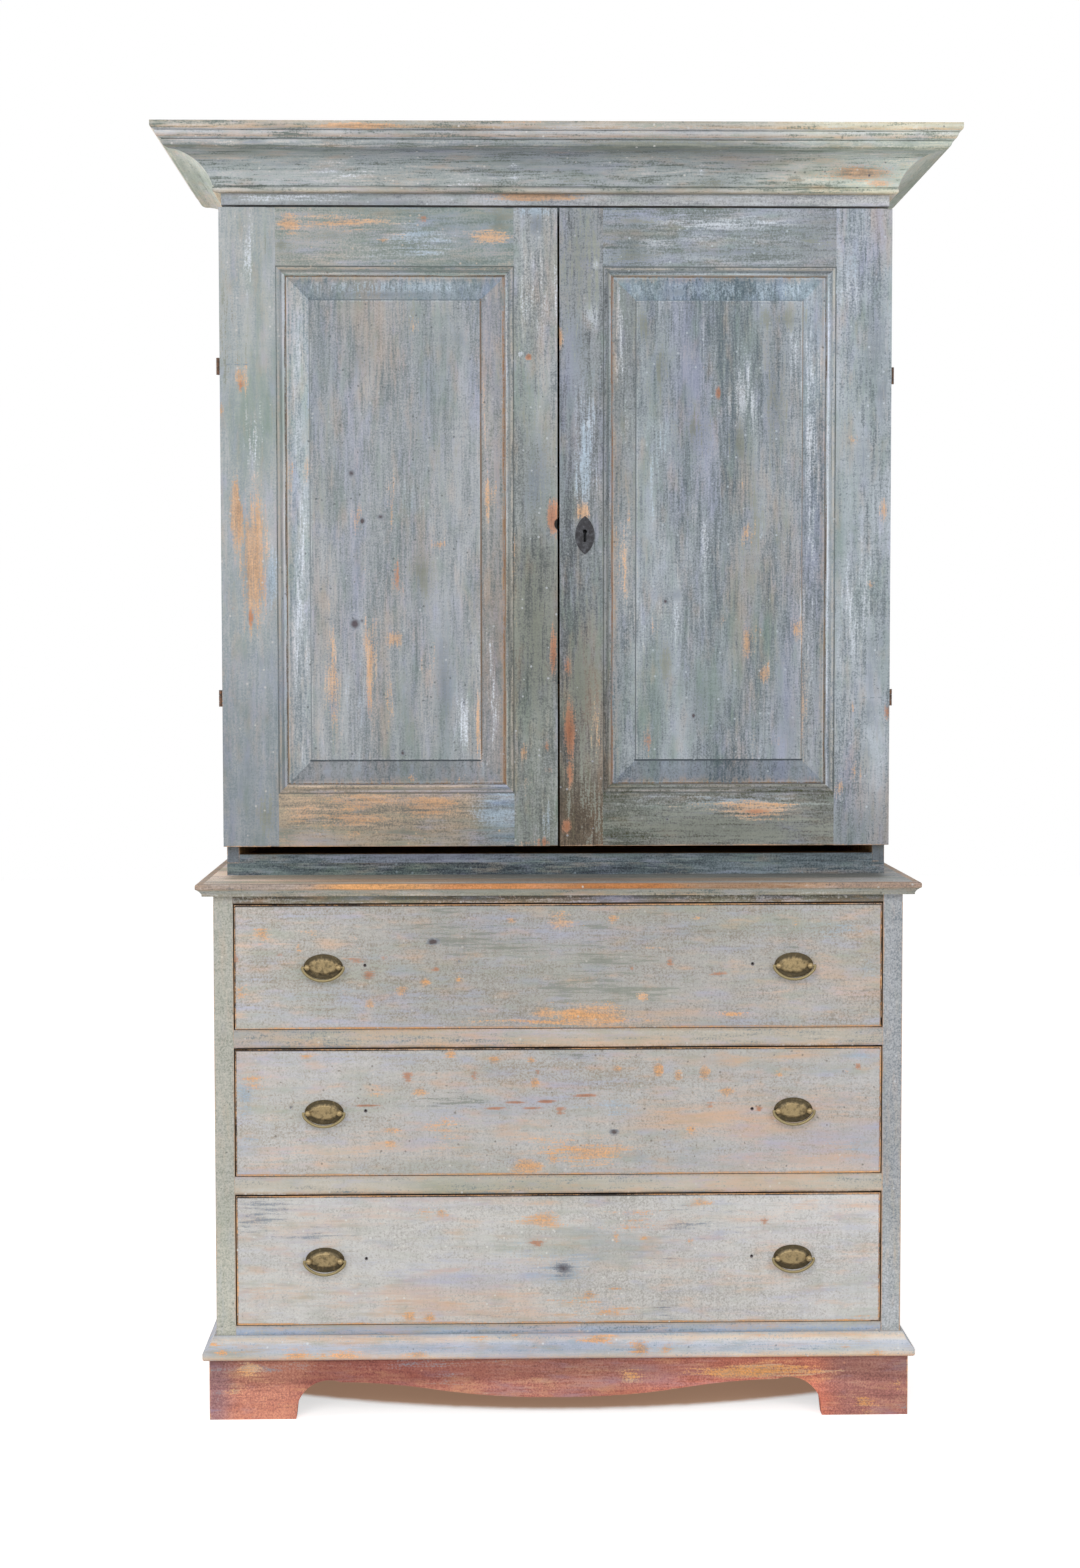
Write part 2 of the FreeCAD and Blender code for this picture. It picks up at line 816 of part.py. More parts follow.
def bolt_channel(plan):
    x_high = plan.x_high
    y_low = door_front_y + lock_bolt_front - bolt_clearance
    z_middle = door_bottom_z + lock_rise
    reach = lock_bolt_height / 2 + bolt_clearance
    return box(x_high - lock_bolt_setback - lock_bolt_length - bolt_clearance, x_high,
               y_low, y_low + lock_bolt_thickness + 2 * bolt_clearance,
               z_middle - reach, z_middle + reach)


def keyhole(plan, y_low, y_high):
    x = plan.x_high - key_backset
    z = door_bottom_z + keyhole_rise
    half = keyhole_slot_width / 2
    eye = rod(keyhole_radius, V(x, y_low, z), V(0, y_high - y_low, 0))
    slot = box(x - half, x + half, y_low, y_high, z - keyhole_slot_length, z)
    return joined([eye, slot])


def lock_cuts(plan):
    return [lock_case_box(plan), keyhole(plan, door_front_y, door_back_y - lock_case_thickness)]


def lock_case(plan):
    case_front = door_back_y - lock_case_thickness
    return cut_away(lock_case_box(plan),
                    [bolt_channel(plan), keyhole(plan, case_front, case_front + keyhole_case_depth)])


def lens_prism(x, z, half_width, half_height, y_low, y_high):
    """A pointed oval plate between two arcs."""
    foot = V(x, y_low, z - half_height)
    tip = V(x, y_low, z + half_height)
    edges = [Part.Arc(foot, V(x + half_width, y_low, z), tip).toShape(),
             Part.Arc(tip, V(x - half_width, y_low, z), foot).toShape()]
    return Part.Face(Part.Wire(edges)).extrude(V(0, y_high - y_low, 0))


def escutcheon(plan):
    x = plan.x_high - key_backset
    z = door_bottom_z + escutcheon_rise
    front = door_front_y - escutcheon_thickness
    plate = lens_prism(x, z, escutcheon_width / 2, escutcheon_height / 2, front, door_front_y)
    shrink = escutcheon_edge_width
    relief = lens_prism(x, z, escutcheon_width / 2 - shrink, escutcheon_height / 2 - 2 * shrink,
                        front, front + escutcheon_relief)
    return cut_away(plate, [relief, keyhole(plan, front, door_front_y)])


def strike_cuts(plan):
    """Mortise for the lock bolt in the left door's meeting edge, and the chip worn beside it."""
    z = door_bottom_z + lock_rise
    y_low = door_front_y + lock_bolt_front - strike_clearance
    reach = lock_bolt_height / 2 + strike_clearance
    mortise = box(plan.x_high - strike_depth, plan.x_high, y_low,
                  y_low + lock_bolt_thickness + 2 * strike_clearance, z - reach, z + reach)
    chip_centre = V(plan.x_high + chip_centre_out, door_front_y - chip_centre_forward, z)
    chip = Part.makeSphere(chip_radius, chip_centre)
    return [mortise, chip]


# Slide bolt on the back of the left door

def slide_bolt_middle(plan):
    """Middle of the bolt across the door, and its near face behind the door."""
    return plan.x_high - slide_bolt_inset, door_back_y + slide_plate_thickness + bolt_clearance


def slide_bolt(plan):
    x, y = slide_bolt_middle(plan)
    half = slide_bolt_size / 2
    top = case_rail_bottom_z - slide_bolt_top_drop
    bar = box(x - half, x + half, y, y + slide_bolt_size, top - slide_bolt_length, top)
    knob_z = top - slide_bolt_length + slide_knob_rise
    knob = rod(slide_knob_radius, V(x, y + slide_bolt_size, knob_z), V(0, slide_knob_length, 0))
    return joined([bar, knob])


def slide_plate(plan):
    """Back plate with the two keepers that the bolt slides in."""
    x, y = slide_bolt_middle(plan)
    top = case_rail_bottom_z - slide_plate_drop
    bottom = top - slide_plate_height
    pieces = [box(x - slide_plate_width / 2, x + slide_plate_width / 2, door_back_y,
                  door_back_y + slide_plate_thickness, bottom, top)]
    inner = slide_bolt_size / 2 + bolt_clearance
    y_inner = y + slide_bolt_size + bolt_clearance
    channel = box(x - inner, x + inner, door_back_y + slide_plate_thickness, y_inner, bottom, top)
    for low in (bottom + keeper_inset, top - keeper_inset - keeper_height):
        block = box(x - inner - keeper_wall, x + inner + keeper_wall, door_back_y + slide_plate_thickness,
                    y_inner + keeper_wall, low, low + keeper_height)
        pieces.append(block.cut(channel))
    return joined(pieces)


# Drawers

def tails(x_low, x_high, root_y, tip_y, z_low, z_high):
    """Dovetails spread over a board's height, narrow at the root and wide at the tip."""
    pitch = (z_high - z_low) / dovetail_count
    half = pitch * dovetail_width_share / 2
    shapes = []
    for number in range(dovetail_count):
        middle = z_low + (number + 0.5) * pitch
        corners = [(root_y, middle - half), (tip_y, middle - half - dovetail_flare),
                   (tip_y, middle + half + dovetail_flare), (root_y, middle + half)]
        shapes.append(polygon_prism(corners, lambda y, z: V(x_low, y, z), V(x_high - x_low, 0, 0)))
    return shapes


class DrawerPlan:
    """Places of one drawer's parts that follow from its opening."""

    def __init__(self, name):
        opening_low = opening_bottoms[name]
        opening_high = opening_low + drawer_opening_heights[name]
        self.half = chest_inner - drawer_side_gap
        self.inner = self.half - drawer_side_thickness
        self.front_z_low = opening_low + drawer_bottom_gap
        self.front_z_high = opening_high - drawer_top_gap
        self.z_low = opening_low + runner_gap
        self.z_high = opening_high - drawer_side_top_clearance
        self.pull_z = (opening_low + opening_high) / 2
        self.y_front = chest_front_y
        self.y_face_back = chest_front_y + drawer_front_thickness
        self.y_end = chest_front_y + drawer_length
        self.y_back_inner = self.y_end - drawer_side_thickness
        self.bottom_low = self.z_low + drawer_bottom_rise
        self.bottom_high = self.bottom_low + drawer_bottom_thickness
        self.back_z_high = self.z_high - drawer_back_drop

    def front_tails(self):
        return tails(self.inner, self.half, self.y_face_back, self.y_front + dovetail_lap,
                     self.bottom_high, self.z_high)

    def back_tails(self):
        return tails(self.inner, self.half, self.y_back_inner, self.y_end, self.bottom_high, self.back_z_high)


def drawer_bottom(plan):
    half = plan.inner + drawer_groove_depth
    return box(-half, half, plan.y_face_back - drawer_groove_depth, plan.y_end,
               plan.bottom_low, plan.bottom_high)


def drawer_box(plan):
    """Two sides and the back, dovetailed."""
    side = box(plan.inner, plan.half, plan.y_face_back, plan.y_back_inner, plan.z_low, plan.z_high)
    low_end = box(plan.inner, plan.half, plan.y_back_inner, plan.y_end, plan.z_low, plan.bottom_high)
    right = joined([side, low_end] + plan.front_tails() + plan.back_tails()).cut(drawer_bottom(plan))
    back = box(-plan.half, plan.half, plan.y_back_inner, plan.y_end, plan.bottom_high, plan.back_z_high)
    back = cut_away(back, plan.back_tails() + all_mirrored(plan.back_tails()))
    return [mirrored(right), right, back]


def drawer_front(plan):
    board = box(-plan.half, plan.half, plan.y_front, plan.y_face_back, plan.front_z_low, plan.front_z_high)
    tools = plan.front_tails() + all_mirrored(plan.front_tails()) + [drawer_bottom(plan)]
    for side in (-1, 1):
        tools += post_stems(plan, side)
        hole_x = side * old_hole_half_spacing
        tools.append(rod(old_hole_radius, V(hole_x, plan.y_front, plan.pull_z + old_hole_rise),
                         V(0, old_hole_depth, 0)))
    return cut_away(board, tools)


# Bail handles

def pull_x(side):
    return side * pull_half_spacing


def post_places(side):
    return [pull_x(side) - post_half_spacing, pull_x(side) + post_half_spacing]


def post_stems(plan, side):
    """The round stems that pass through plate and drawer front."""
    length = post_reach + drawer_front_thickness + nut_thickness
    return [rod(post_radius, V(x, plan.y_front - post_reach, plan.pull_z), V(0, length, 0))
            for x in post_places(side)]


def oval(x, y, z, half_width, half_height):
    ellipse = Part.Ellipse(V(x + half_width, y, z), V(x, y, z + half_height), V(x, y, z))
    return Part.Wire([ellipse.toShape()])


def pull_plate(plan, side):
    """A stamped oval back plate with a raised middle."""
    x = pull_x(side)
    rim = Part.Face(oval(x, plan.y_front, plan.pull_z, plate_half_width, plate_half_height))
    rim = rim.extrude(V(0, -plate_thickness, 0))
    boss_width = plate_half_width - plate_boss_margin
    boss_height = plate_half_height - plate_boss_margin
    boss = Part.makeLoft(
        [oval(x, plan.y_front - plate_thickness, plan.pull_z, boss_width, boss_height),
         oval(x, plan.y_front - plate_thickness - plate_boss_rise, plan.pull_z,
              boss_width - plate_boss_slope, boss_height - plate_boss_slope)], True)
    return joined([rim, boss])


def pull_posts(plan, side):
    """Posts with round heads bored for the bail's tips."""
    posts = []
    y = plan.y_front - post_reach
    for x, stem, outward in zip(post_places(side), post_stems(plan, side), (-1, 1)):
        middle = V(x, y, plan.pull_z)
        head = Part.makeSphere(post_head_radius, middle)
        bore = rod(bail_tip_radius + bail_running_gap, middle, V(outward * post_head_radius, 0, 0))
        posts.append(joined([stem, head]).cut(bore))
    return posts


def pulls(plan):
    """Plates, posts and nuts of both handles of a drawer."""
    pieces = []
    nut_y = plan.y_face_back
    for side in (-1, 1):
        stems = post_stems(plan, side)
        posts = pull_posts(plan, side)
        pieces.append(cut_away(pull_plate(plan, side), posts))
        pieces += posts
        for x, stem in zip(post_places(side), stems):
            pieces.append(rod(nut_radius, V(x, nut_y, plan.pull_z), V(0, nut_thickness, 0)).cut(stem))
    return pieces


def bail(plan, side):
    """A bent wire handle hanging from its two posts: two corner arcs and one wide arc."""
    x = pull_x(side)
    y = plan.y_front - post_reach
    z = plan.pull_z
    corner_x = bail_half_width - bail_corner_radius
    spare = bail_drop - bail_corner_radius
    wide_centre = (corner_x ** 2 - spare ** 2) / (2 * spare)
    wide_radius = bail_drop + wide_centre
    turn = math.atan2(wide_centre, corner_x)

    def corner_point(direction, angle):
        return V(x + direction * (corner_x + bail_corner_radius * math.cos(angle)), y,
                 z - bail_corner_radius * math.sin(angle))

    start = corner_point(1, 0)
    join_right = corner_point(1, turn)
    join_left = corner_point(-1, turn)
    end = corner_point(-1, 0)
    bottom = V(x, y, z + wide_centre - wide_radius)
    path = Part.Wire([Part.Arc(start, corner_point(1, turn / 2), join_right).toShape(),
                      Part.Arc(join_right, bottom, join_left).toShape(),
                      Part.Arc(join_left, corner_point(-1, turn / 2), end).toShape()])
    circle = Part.Wire([Part.makeCircle(bail_wire_radius, start, V(0, 0, 1))])
    wire = path.makePipeShell([circle], True, False)
    pieces = [wire]
    for direction, place in ((1, start), (-1, end)):
        pieces.append(Part.makeSphere(bail_wire_radius, place))
        pieces.append(rod(bail_tip_radius, place, V(-direction * bail_tip_length, 0, 0)))
    return joined(pieces)


def build():
    """Every sub-part by name, each a list of separate solids."""
    base_left, base_right = base_sides()
    upper_left, upper_right = upper_sides()
    cornice_pieces = cornice()
    parts = {
        "base_side_left": [base_left],
        "base_side_right": [base_right],
        "base_top_board": [top_board()],
        "base_top_moulding": top_moulding(),
        "drawer_rails": drawer_rails() + drawer_stops(),
        "drawer_runners": drawer_runners(),
        "base_bottom_board": [bottom_board()],
        "base_back_boards": back_boards(chest_inner + back_rebate_width, plinth_height, chest_top_z),
        "base_moulding": base_moulding(),
        "plinth_front": [plinth_front()],
        "plinth_boards": plinth_boards(),
        "plinth_corner_blocks": corner_blocks(),
        "cornice_blocks": cornice_blocks(),
        "upper_side_left": [upper_left],
        "upper_side_right": [upper_right],
        "upper_top_board": [box(-case_half, case_half, case_front_y, back_y, case_ceiling_z, case_top_z)],
        "upper_bottom_board": [box(-case_half, case_half, case_front_y, back_y, waist_z, case_floor_z)],
        "sill_strip": [sill()],
        "upper_back_boards": back_boards(case_inner + back_rebate_width, case_floor_z, case_ceiling_z),
        "upper_front_rail": [upper_rail()],
        "frieze_board": [frieze()],
        "cornice_front": cornice_pieces[:1],
        "cornice_returns": cornice_pieces[1:],
        "shelves": shelves(),
        "case_hinge_leaves": case_hinges(),
        "left_door_hinge_leaves": door_hinges("left"),
        "left_door_bolt_plate": [slide_plate(left_plan)],
        "left_door_bolt": [slide_bolt(left_plan)],
        "right_door_hinge_leaves": all_mirrored(door_hinges("right")),
        "lock_case": [mirrored(lock_case(right_plan))],
        "lock_bolt": [mirrored(lock_bolt(right_plan))],
        "escutcheon": [mirrored(escutcheon(right_plan))],
    }
    for plan in (left_plan, right_plan):
        frame = {
            "hinge_stile": hinge_stile(plan),
            "meeting_stile": meeting_stile(plan),
            "top_rail": door_rail(plan, "top"),
            "bottom_rail": door_rail(plan, "bottom"),
            "panel": door_panel(plan),
        }
        for name, shape in frame.items():
            placed = shape if plan.side == "left" else mirrored(shape)
            parts[plan.side + "_door_" + name] = [placed]
    for name in drawer_names:
        plan = DrawerPlan(name)
        parts[name + "_drawer_front"] = [drawer_front(plan)]
        parts[name + "_drawer_box"] = drawer_box(plan)
        parts[name + "_drawer_bottom"] = [drawer_bottom(plan)]
        parts[name + "_drawer_pull_plates"] = pulls(plan)
        parts[name + "_drawer_left_bail"] = [bail(plan, -1)]
        parts[name + "_drawer_right_bail"] = [bail(plan, 1)]
    return parts


os.makedirs("parts", exist_ok=True)
for part_name, solids in build().items():
    shape = solids[0] if len(solids) == 1 else Part.makeCompound(solids)
    shape.exportStep("parts/" + part_name + ".step")
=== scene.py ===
import math

import bmesh
import bpy
from mathutils import Matrix, Vector, noise


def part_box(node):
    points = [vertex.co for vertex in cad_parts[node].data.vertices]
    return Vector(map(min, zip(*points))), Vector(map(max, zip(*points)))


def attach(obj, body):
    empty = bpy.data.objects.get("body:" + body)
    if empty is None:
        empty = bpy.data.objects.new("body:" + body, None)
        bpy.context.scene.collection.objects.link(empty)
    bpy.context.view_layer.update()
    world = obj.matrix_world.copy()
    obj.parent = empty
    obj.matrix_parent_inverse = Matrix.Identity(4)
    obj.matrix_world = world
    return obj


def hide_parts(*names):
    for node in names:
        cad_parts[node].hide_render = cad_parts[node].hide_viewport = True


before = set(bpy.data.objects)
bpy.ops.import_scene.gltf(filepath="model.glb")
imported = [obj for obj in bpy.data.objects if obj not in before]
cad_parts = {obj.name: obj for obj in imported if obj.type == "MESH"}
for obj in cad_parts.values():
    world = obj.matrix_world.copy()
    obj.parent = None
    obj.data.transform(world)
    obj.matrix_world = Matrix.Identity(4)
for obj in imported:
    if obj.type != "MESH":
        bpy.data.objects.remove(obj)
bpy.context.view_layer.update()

# Studio: the photograph's viewpoint, a little left of the middle at chest height and looking
# slightly down. Two soft lamps stand in front and one on the left. The backdrop and the
# floor are white paper; the floor keeps the object's shadow, and under the plinth a brown
# shadow is painted into its colour and glow.
IMAGE_HEIGHT_PX = 1568
FOCAL_PX = 2492.8
SENSOR_MM = 36.0
CAMERA_PLACE = (-0.1165, -4.2283, 1.2337)
YAW, PITCH, ROLL = -0.0219, -0.0548, -0.0013
camera_data = bpy.data.cameras.new("camera")
camera_data.sensor_width = SENSOR_MM
camera_data.lens = FOCAL_PX / IMAGE_HEIGHT_PX * SENSOR_MM
camera_data.clip_end = 40
camera = bpy.data.objects.new("camera", camera_data)
bpy.context.collection.objects.link(camera)
level_right = Vector((math.cos(YAW), math.sin(YAW), 0))
level_ahead = Vector((-math.sin(YAW), math.cos(YAW), 0))
ahead = level_ahead * math.cos(PITCH) + Vector((0, 0, math.sin(PITCH)))
upward = -level_ahead * math.sin(PITCH) + Vector((0, 0, math.cos(PITCH)))
right = level_right * math.cos(ROLL) + upward * math.sin(ROLL)
upward = upward * math.cos(ROLL) - level_right * math.sin(ROLL)
turn = Matrix((right, upward, -ahead)).transposed().to_4x4()
camera.matrix_world = Matrix.Translation(CAMERA_PLACE) @ turn
bpy.context.scene.camera = camera
bpy.context.scene.view_settings.view_transform = "Standard"


def lamp(name, place, aim, size, power):
    data = bpy.data.lights.new(name, "AREA")
    data.shape = "RECTANGLE"
    data.size, data.size_y = size
    data.energy = power
    item = bpy.data.objects.new(name, data)
    item.location = place
    item.rotation_euler = (Vector(aim) - Vector(place)).to_track_quat("-Z", "Y").to_euler()
    bpy.context.collection.objects.link(item)


lamp("key_lamp", (-1.3, -4.6, 3.4), (0, 0, 1.0), (2.6, 2.6), 90)
lamp("fill_lamp", (2.6, -4.6, 2.2), (0, 0, 1.0), (2.6, 2.6), 60)
lamp("side_lamp", (-4.6, -1.2, 1.0), (0, 0, 1.4), (1.8, 2.6), 55)


class Layer:
    """A value, vector or colour of a finish. Arithmetic on values adds Math nodes."""

    def __init__(self, tree, socket):
        self.tree, self.socket = tree, socket

    def node(self, kind, settings, values, out=0):
        made = self.tree.nodes.new(kind)
        for name, value in settings.items():
            if name == "stops":
                ramp = made.color_ramp
                ramp.elements.remove(ramp.elements[1])
                ramp.elements[0].position, ramp.elements[0].color = value[0]
                for place, colour in value[1:]:
                    ramp.elements.new(place).color = colour
            else:
                setattr(made, name, value)
        for key, value in values.items():
            if isinstance(value, Layer):
                self.tree.links.new(value.socket, made.inputs[key])
            else:
                made.inputs[key].default_value = value
        return Layer(self.tree, made.outputs[out])

    def math(self, operation, *others):
        return self.node("ShaderNodeMath", {"operation": operation}, dict(enumerate((self, *others))))

    def __add__(self, other):
        return self.math("ADD", other)

    def __sub__(self, other):
        return self.math("SUBTRACT", other)

    def __rsub__(self, other):
        return self.node("ShaderNodeMath", {"operation": "SUBTRACT"}, {0: other, 1: self})

    def __mul__(self, other):
        return self.math("MULTIPLY", other)

    __radd__, __rmul__ = __add__, __mul__

    def over(self, low, high):
        """0 below low, 1 above high, with a soft step between them."""
        return self.node("ShaderNodeMapRange", {"interpolation_type": "SMOOTHSTEP"},
                         {"Value": self, "From Min": low, "From Max": high})

    def blend(self, first, second, way="MIX"):
        """The first colour where this mask is 0 and the second where it is 1."""
        return self.node("ShaderNodeMix", {"data_type": "RGBA", "blend_type": way},
                         {0: self, 6: first, 7: second}, out=2)

    def ramp(self, stops):
        return self.node("ShaderNodeValToRGB", {"stops": stops}, {"Fac": self})

    def vector(self, operation, *others, out=0):
        return self.node("ShaderNodeVectorMath", {"operation": operation},
                         dict(enumerate((self, *others))), out=out)

    def tinted(self, code):
        """This shade of a pigment."""
        return self.vector("MULTIPLY", pigment(code)[:3])

    def parts(self):
        made = self.node("ShaderNodeSeparateXYZ", {}, {0: self})
        return [Layer(self.tree, socket) for socket in made.socket.node.outputs]

    def noise(self, scales, detail, rough, warp=0.0, out=0):
        """Noise with so many features in each metre along X, Y, Z."""
        return self.node("ShaderNodeTexNoise", {},
                         {"Vector": self.vector("MULTIPLY", scales), "Scale": 1.0, "Detail": detail,
                          "Roughness": rough, "Distortion": warp}, out)

    def cloud(self, scales, detail=3.0, rough=0.55, warp=0.0):
        """Soft noise around 0, about -0.3 to 0.3."""
        return self.noise(scales, detail, rough, warp) - 0.5

    def cells(self, scales, out):
        """Scattered spots, each the middle of its cell."""
        return self.node("ShaderNodeTexVoronoi", {},
                         {"Vector": self.vector("MULTIPLY", scales), "Scale": 1.0}, out)

    def bump(self, strength, distance):
        return self.node("ShaderNodeBump", {}, {"Strength": strength, "Distance": distance, "Height": self})


def pigment(code):
    """A colour of the palette, written as it looks on the piece, as linear light."""
    shares = [int(code[i:i + 2], 16) / 255 for i in (0, 2, 4)]
    return tuple(s / 12.92 if s <= 0.04045 else ((s + 0.055) / 1.055) ** 2.4 for s in shares) + (1.0,)


def new_material(name):
    material = bpy.data.materials.new(name)
    material.use_nodes = True
    tree = material.node_tree
    shader = tree.nodes["Principled BSDF"]
    place = tree.nodes.new("ShaderNodeTexCoord")
    return material, shader, Layer(tree, place.outputs["Object"])


def finish_with(shader, tree, **sockets):
    for name, value in sockets.items():
        socket = shader.inputs[name.replace("_", " ")]
        if isinstance(value, Layer):
            tree.links.new(value.socket, socket)
        else:
            socket.default_value = value


LAMP_SHARE = 0.43
world = bpy.data.worlds.new("paper_backdrop")
bpy.context.scene.world = world
world.use_nodes = True
ray = world.node_tree.nodes.new("ShaderNodeLightPath")
seen = Layer(world.node_tree, ray.outputs["Is Camera Ray"])
seen = seen.math("MAXIMUM", Layer(world.node_tree, ray.outputs["Is Glossy Ray"]))
seen = seen.math("MAXIMUM", Layer(world.node_tree, ray.outputs["Is Transmission Ray"]))
glow = seen * (1 - LAMP_SHARE) + LAMP_SHARE
background = world.node_tree.nodes["Background"]
background.inputs["Color"].default_value = (1, 1, 1, 1)
world.node_tree.links.new(glow.socket, background.inputs["Strength"])

FLOOR_HALF = 9
FLOOR_GLOW = 0.62
# Painted shadow: the brown glow of the floor under the plinth, where the rest of the floor glows white.
PAINTED_SHADOW_GLOW = (0.4, 0.24, 0.16, 1)
SHADOW_REACH, SHADOW_MIDDLE, SHADOW_BEND = 0.262, 0.02, 0.45
SHADOW_BACK, SHADOW_ENDS = (0.3, 0.31), (0.545, 0.556)
floor_mesh = bpy.data.meshes.new("floor")
floor_mesh.from_pydata([(-FLOOR_HALF, -FLOOR_HALF, 0), (FLOOR_HALF, -FLOOR_HALF, 0),
                        (FLOOR_HALF, FLOOR_HALF, 0), (-FLOOR_HALF, FLOOR_HALF, 0)], [], [(0, 1, 2, 3)])
floor = bpy.data.objects.new("floor", floor_mesh)
bpy.context.collection.objects.link(floor)
paper, shader, at = new_material("floor_paper")
seen_floor = at.node("ShaderNodeLightPath", {}, {}, out="Is Camera Ray")
grain = at.cloud((40, 40, 40))
across, back, _ = at.parts()
# Painted shadow: a bowed patch of floor under the plinth is given a brown colour and a brown glow.
bow = (across - SHADOW_MIDDLE) * (across - SHADOW_MIDDLE) * SHADOW_BEND - SHADOW_REACH
under = (back - bow + grain * 0.01).over(0.0, 0.03) * (1 - back.over(*SHADOW_BACK))
under = under * (1 - across.math("ABSOLUTE").over(*SHADOW_ENDS))
finish_with(shader, paper.node_tree, Base_Color=under.blend(pigment("fafafa"), pigment("b8a089")),
            Roughness=grain * 0.2 + 0.8, Specular_IOR_Level=0.1,
            Emission_Color=seen_floor.blend((0, 0, 0, 1), under.blend((1, 1, 1, 1), PAINTED_SHADOW_GLOW)),
            Emission_Strength=FLOOR_GLOW)
floor_mesh.materials.append(paper)


# Plinth: a front board sawn to an arch between two feet, mitred boards along the sides and
# glued blocks in the corners. Pine, painted brick red over a paler ground that shows at the
# sawn edge, the corners and in small chips.
GRAIN_SHARE = 0.05
HAZES_COOL = (("b99f87", 0.36), ("a2a6c0", 0.5), ("74897d", 0.55))
HAZES_CALM = (("c9a98c", 0.3), ("a6abb8", 0.3), ("8f9a86", 0.3))
HAZES_WARM = (("d3a884", 0.6), ("a6abc6", 0.55), ("8f9a86", 0.45))

# How each kind of mark looks: its thin and its full colour, how ragged and how cloudy its rim
# is, between which values of its field it sets in, and how much of the paint it covers.
MARK_KINDS = {
    "pale": ("b4bac2", "c6cad2", 1.4, 0.6, (0.3, 0.8), 0.85),
    "sky": ("98a5b1", "97a8b6", 1.4, 0.6, (0.3, 0.8), 0.85),
    "slate": ("7a828b", "666f79", 1.4, 0.6, (0.3, 0.8), 0.85),
    "olive": ("7c8078", "676b60", 1.7, 1.2, (0.36, 0.7), 0.85),
    "bare": ("b9a28f", "c39a75", 1.0, 0.5, (0.32, 0.64), 0.88),
    "rust": ("ad8066", "9d6241", 1.0, 0.5, (0.32, 0.64), 0.85),
    "ink": ("7f848c", "3f2f33", 0.9, 0.0, (0.36, 0.58), 0.85),
}

# How far out a mark's ragged rim lies, as a share of its half width and height, and how far in
# from its face it reaches; and how steeply the rubbing fades away from an arris.
MARK_RIM, MARK_DEPTH_MM = 1.35, 22
ARRIS_RUB = 300.0

# How far behind the front of a joint the bare wood is darkened, with dirt and painted shade: round a door,
# and round a drawer.
DOOR_REACH, DRAWER_REACH = 0.016, 0.05


def seen_as(red, green, blue):
    """Shares by which a tone looks lighter or darker, as linear light."""
    return red ** 2.2, green ** 2.2, blue ** 2.2, 1.0


def extreme(operation, layers):
    """The MAXIMUM or the MINIMUM of several values."""
    result = layers[0]
    for layer in layers[1:]:
        result = result.math(operation, layer)
    return result


def stretched(run, across, along_share=1.0):
    """Noise scales of a streak that lies along the grain, with so many streaks in a metre across it."""
    return tuple(across * (GRAIN_SHARE * along_share if axis == run else 1) for axis in "xyz")


def pine_colour(at, run, tones=("c09a6b", "aa8152", "83643f")):
    """Bare pine: growth rings drawn out along the board, fibres, and brown age in clouds."""
    ring = at.cloud(stretched(run, 14, 1.6), 2.0, 0.4, 0.6) * 26
    ring = ring.math("PINGPONG", 1.0)
    fibre = at.cloud(stretched(run, 420), 2.0)
    age = at.cloud((5, 5, 5), 3.0)
    wood = (ring + fibre * 1.6).over(0.1, 1.0).blend(pigment(tones[0]), pigment(tones[1]))
    wood = (age * 2.0 + fibre * 1.5 + 0.3).over(0.0, 1.1).blend(wood, pigment(tones[2]))
    return wood, ring * 0.3 + fibre


def mark_field(at, marks, depth):
    """Highest where a mark has its middle, falling to 0 at its rim. A mark is its middle X and Z
    and its half width and half height, in millimetres, and how strongly it shows. depth is the
    face it lies on, or None on a moulding that it goes right over."""
    fields = []
    for x, z, half_width, half_height, strength in marks:
        size = (1000 / (MARK_RIM * half_width), 0 if depth is None else 1000 / MARK_DEPTH_MM,
                1000 / (MARK_RIM * half_height))
        middle = (-x * size[0] / 1000, -(depth or 0) * size[1], -z * size[2] / 1000)
        rim = at.vector("MULTIPLY_ADD", size, middle).vector("LENGTH", out="Value")
        fields.append(rim.math("MULTIPLY_ADD", -strength, strength))
    return extreme("MAXIMUM", fields)


def arris_distance(at, low, high):
    """How far a point of a board's surface is from the board's nearest edge, in metres."""
    middle = tuple((a + b) / 2 for a, b in zip(low, high))
    half = tuple((b - a) / 2 for a, b in zip(low, high))
    off = at.vector("SUBTRACT", middle).vector("ABSOLUTE")
    x, y, z = (limit - part for limit, part in zip(half, off.parts()))
    return x.math("MINIMUM", y).math("MAXIMUM", x.math("MAXIMUM", y).math("MINIMUM", z))


class Strokes:
    """What the brush left along a board: clouds, broad and fine streaks, dabs across them and
    specks, and the tone they make together, which is 0.5 where the paint is as usual."""

    def __init__(self, at, run, streaks, blotches):
        self.clouds = at.cloud(stretched(run, 8, 5), 4.0, 0.6)
        self.broad = at.cloud(stretched(run, 60, 1.8), 4.0, 0.65)
        self.brush = at.cloud(stretched(run, 230, 1.4), 4.0, 0.7)
        self.speck = at.cloud((330, 330, 330), 3.0, 0.75)
        dabs = at.cloud(stretched("x" if run == "z" else "z", 130, 3), 3.0, 0.65)
        self.tone = (self.clouds * (0.8 * blotches) + self.broad * (0.9 * streaks)
                     + self.brush * (1.1 * streaks) + dabs * 0.3 + self.speck * 1.4 + 0.5)
        self.shade = self.tone * 1.2 + 0.4
        self.ragged = self.brush * 1.4 + self.speck * 1.1 + self.broad * 1.3


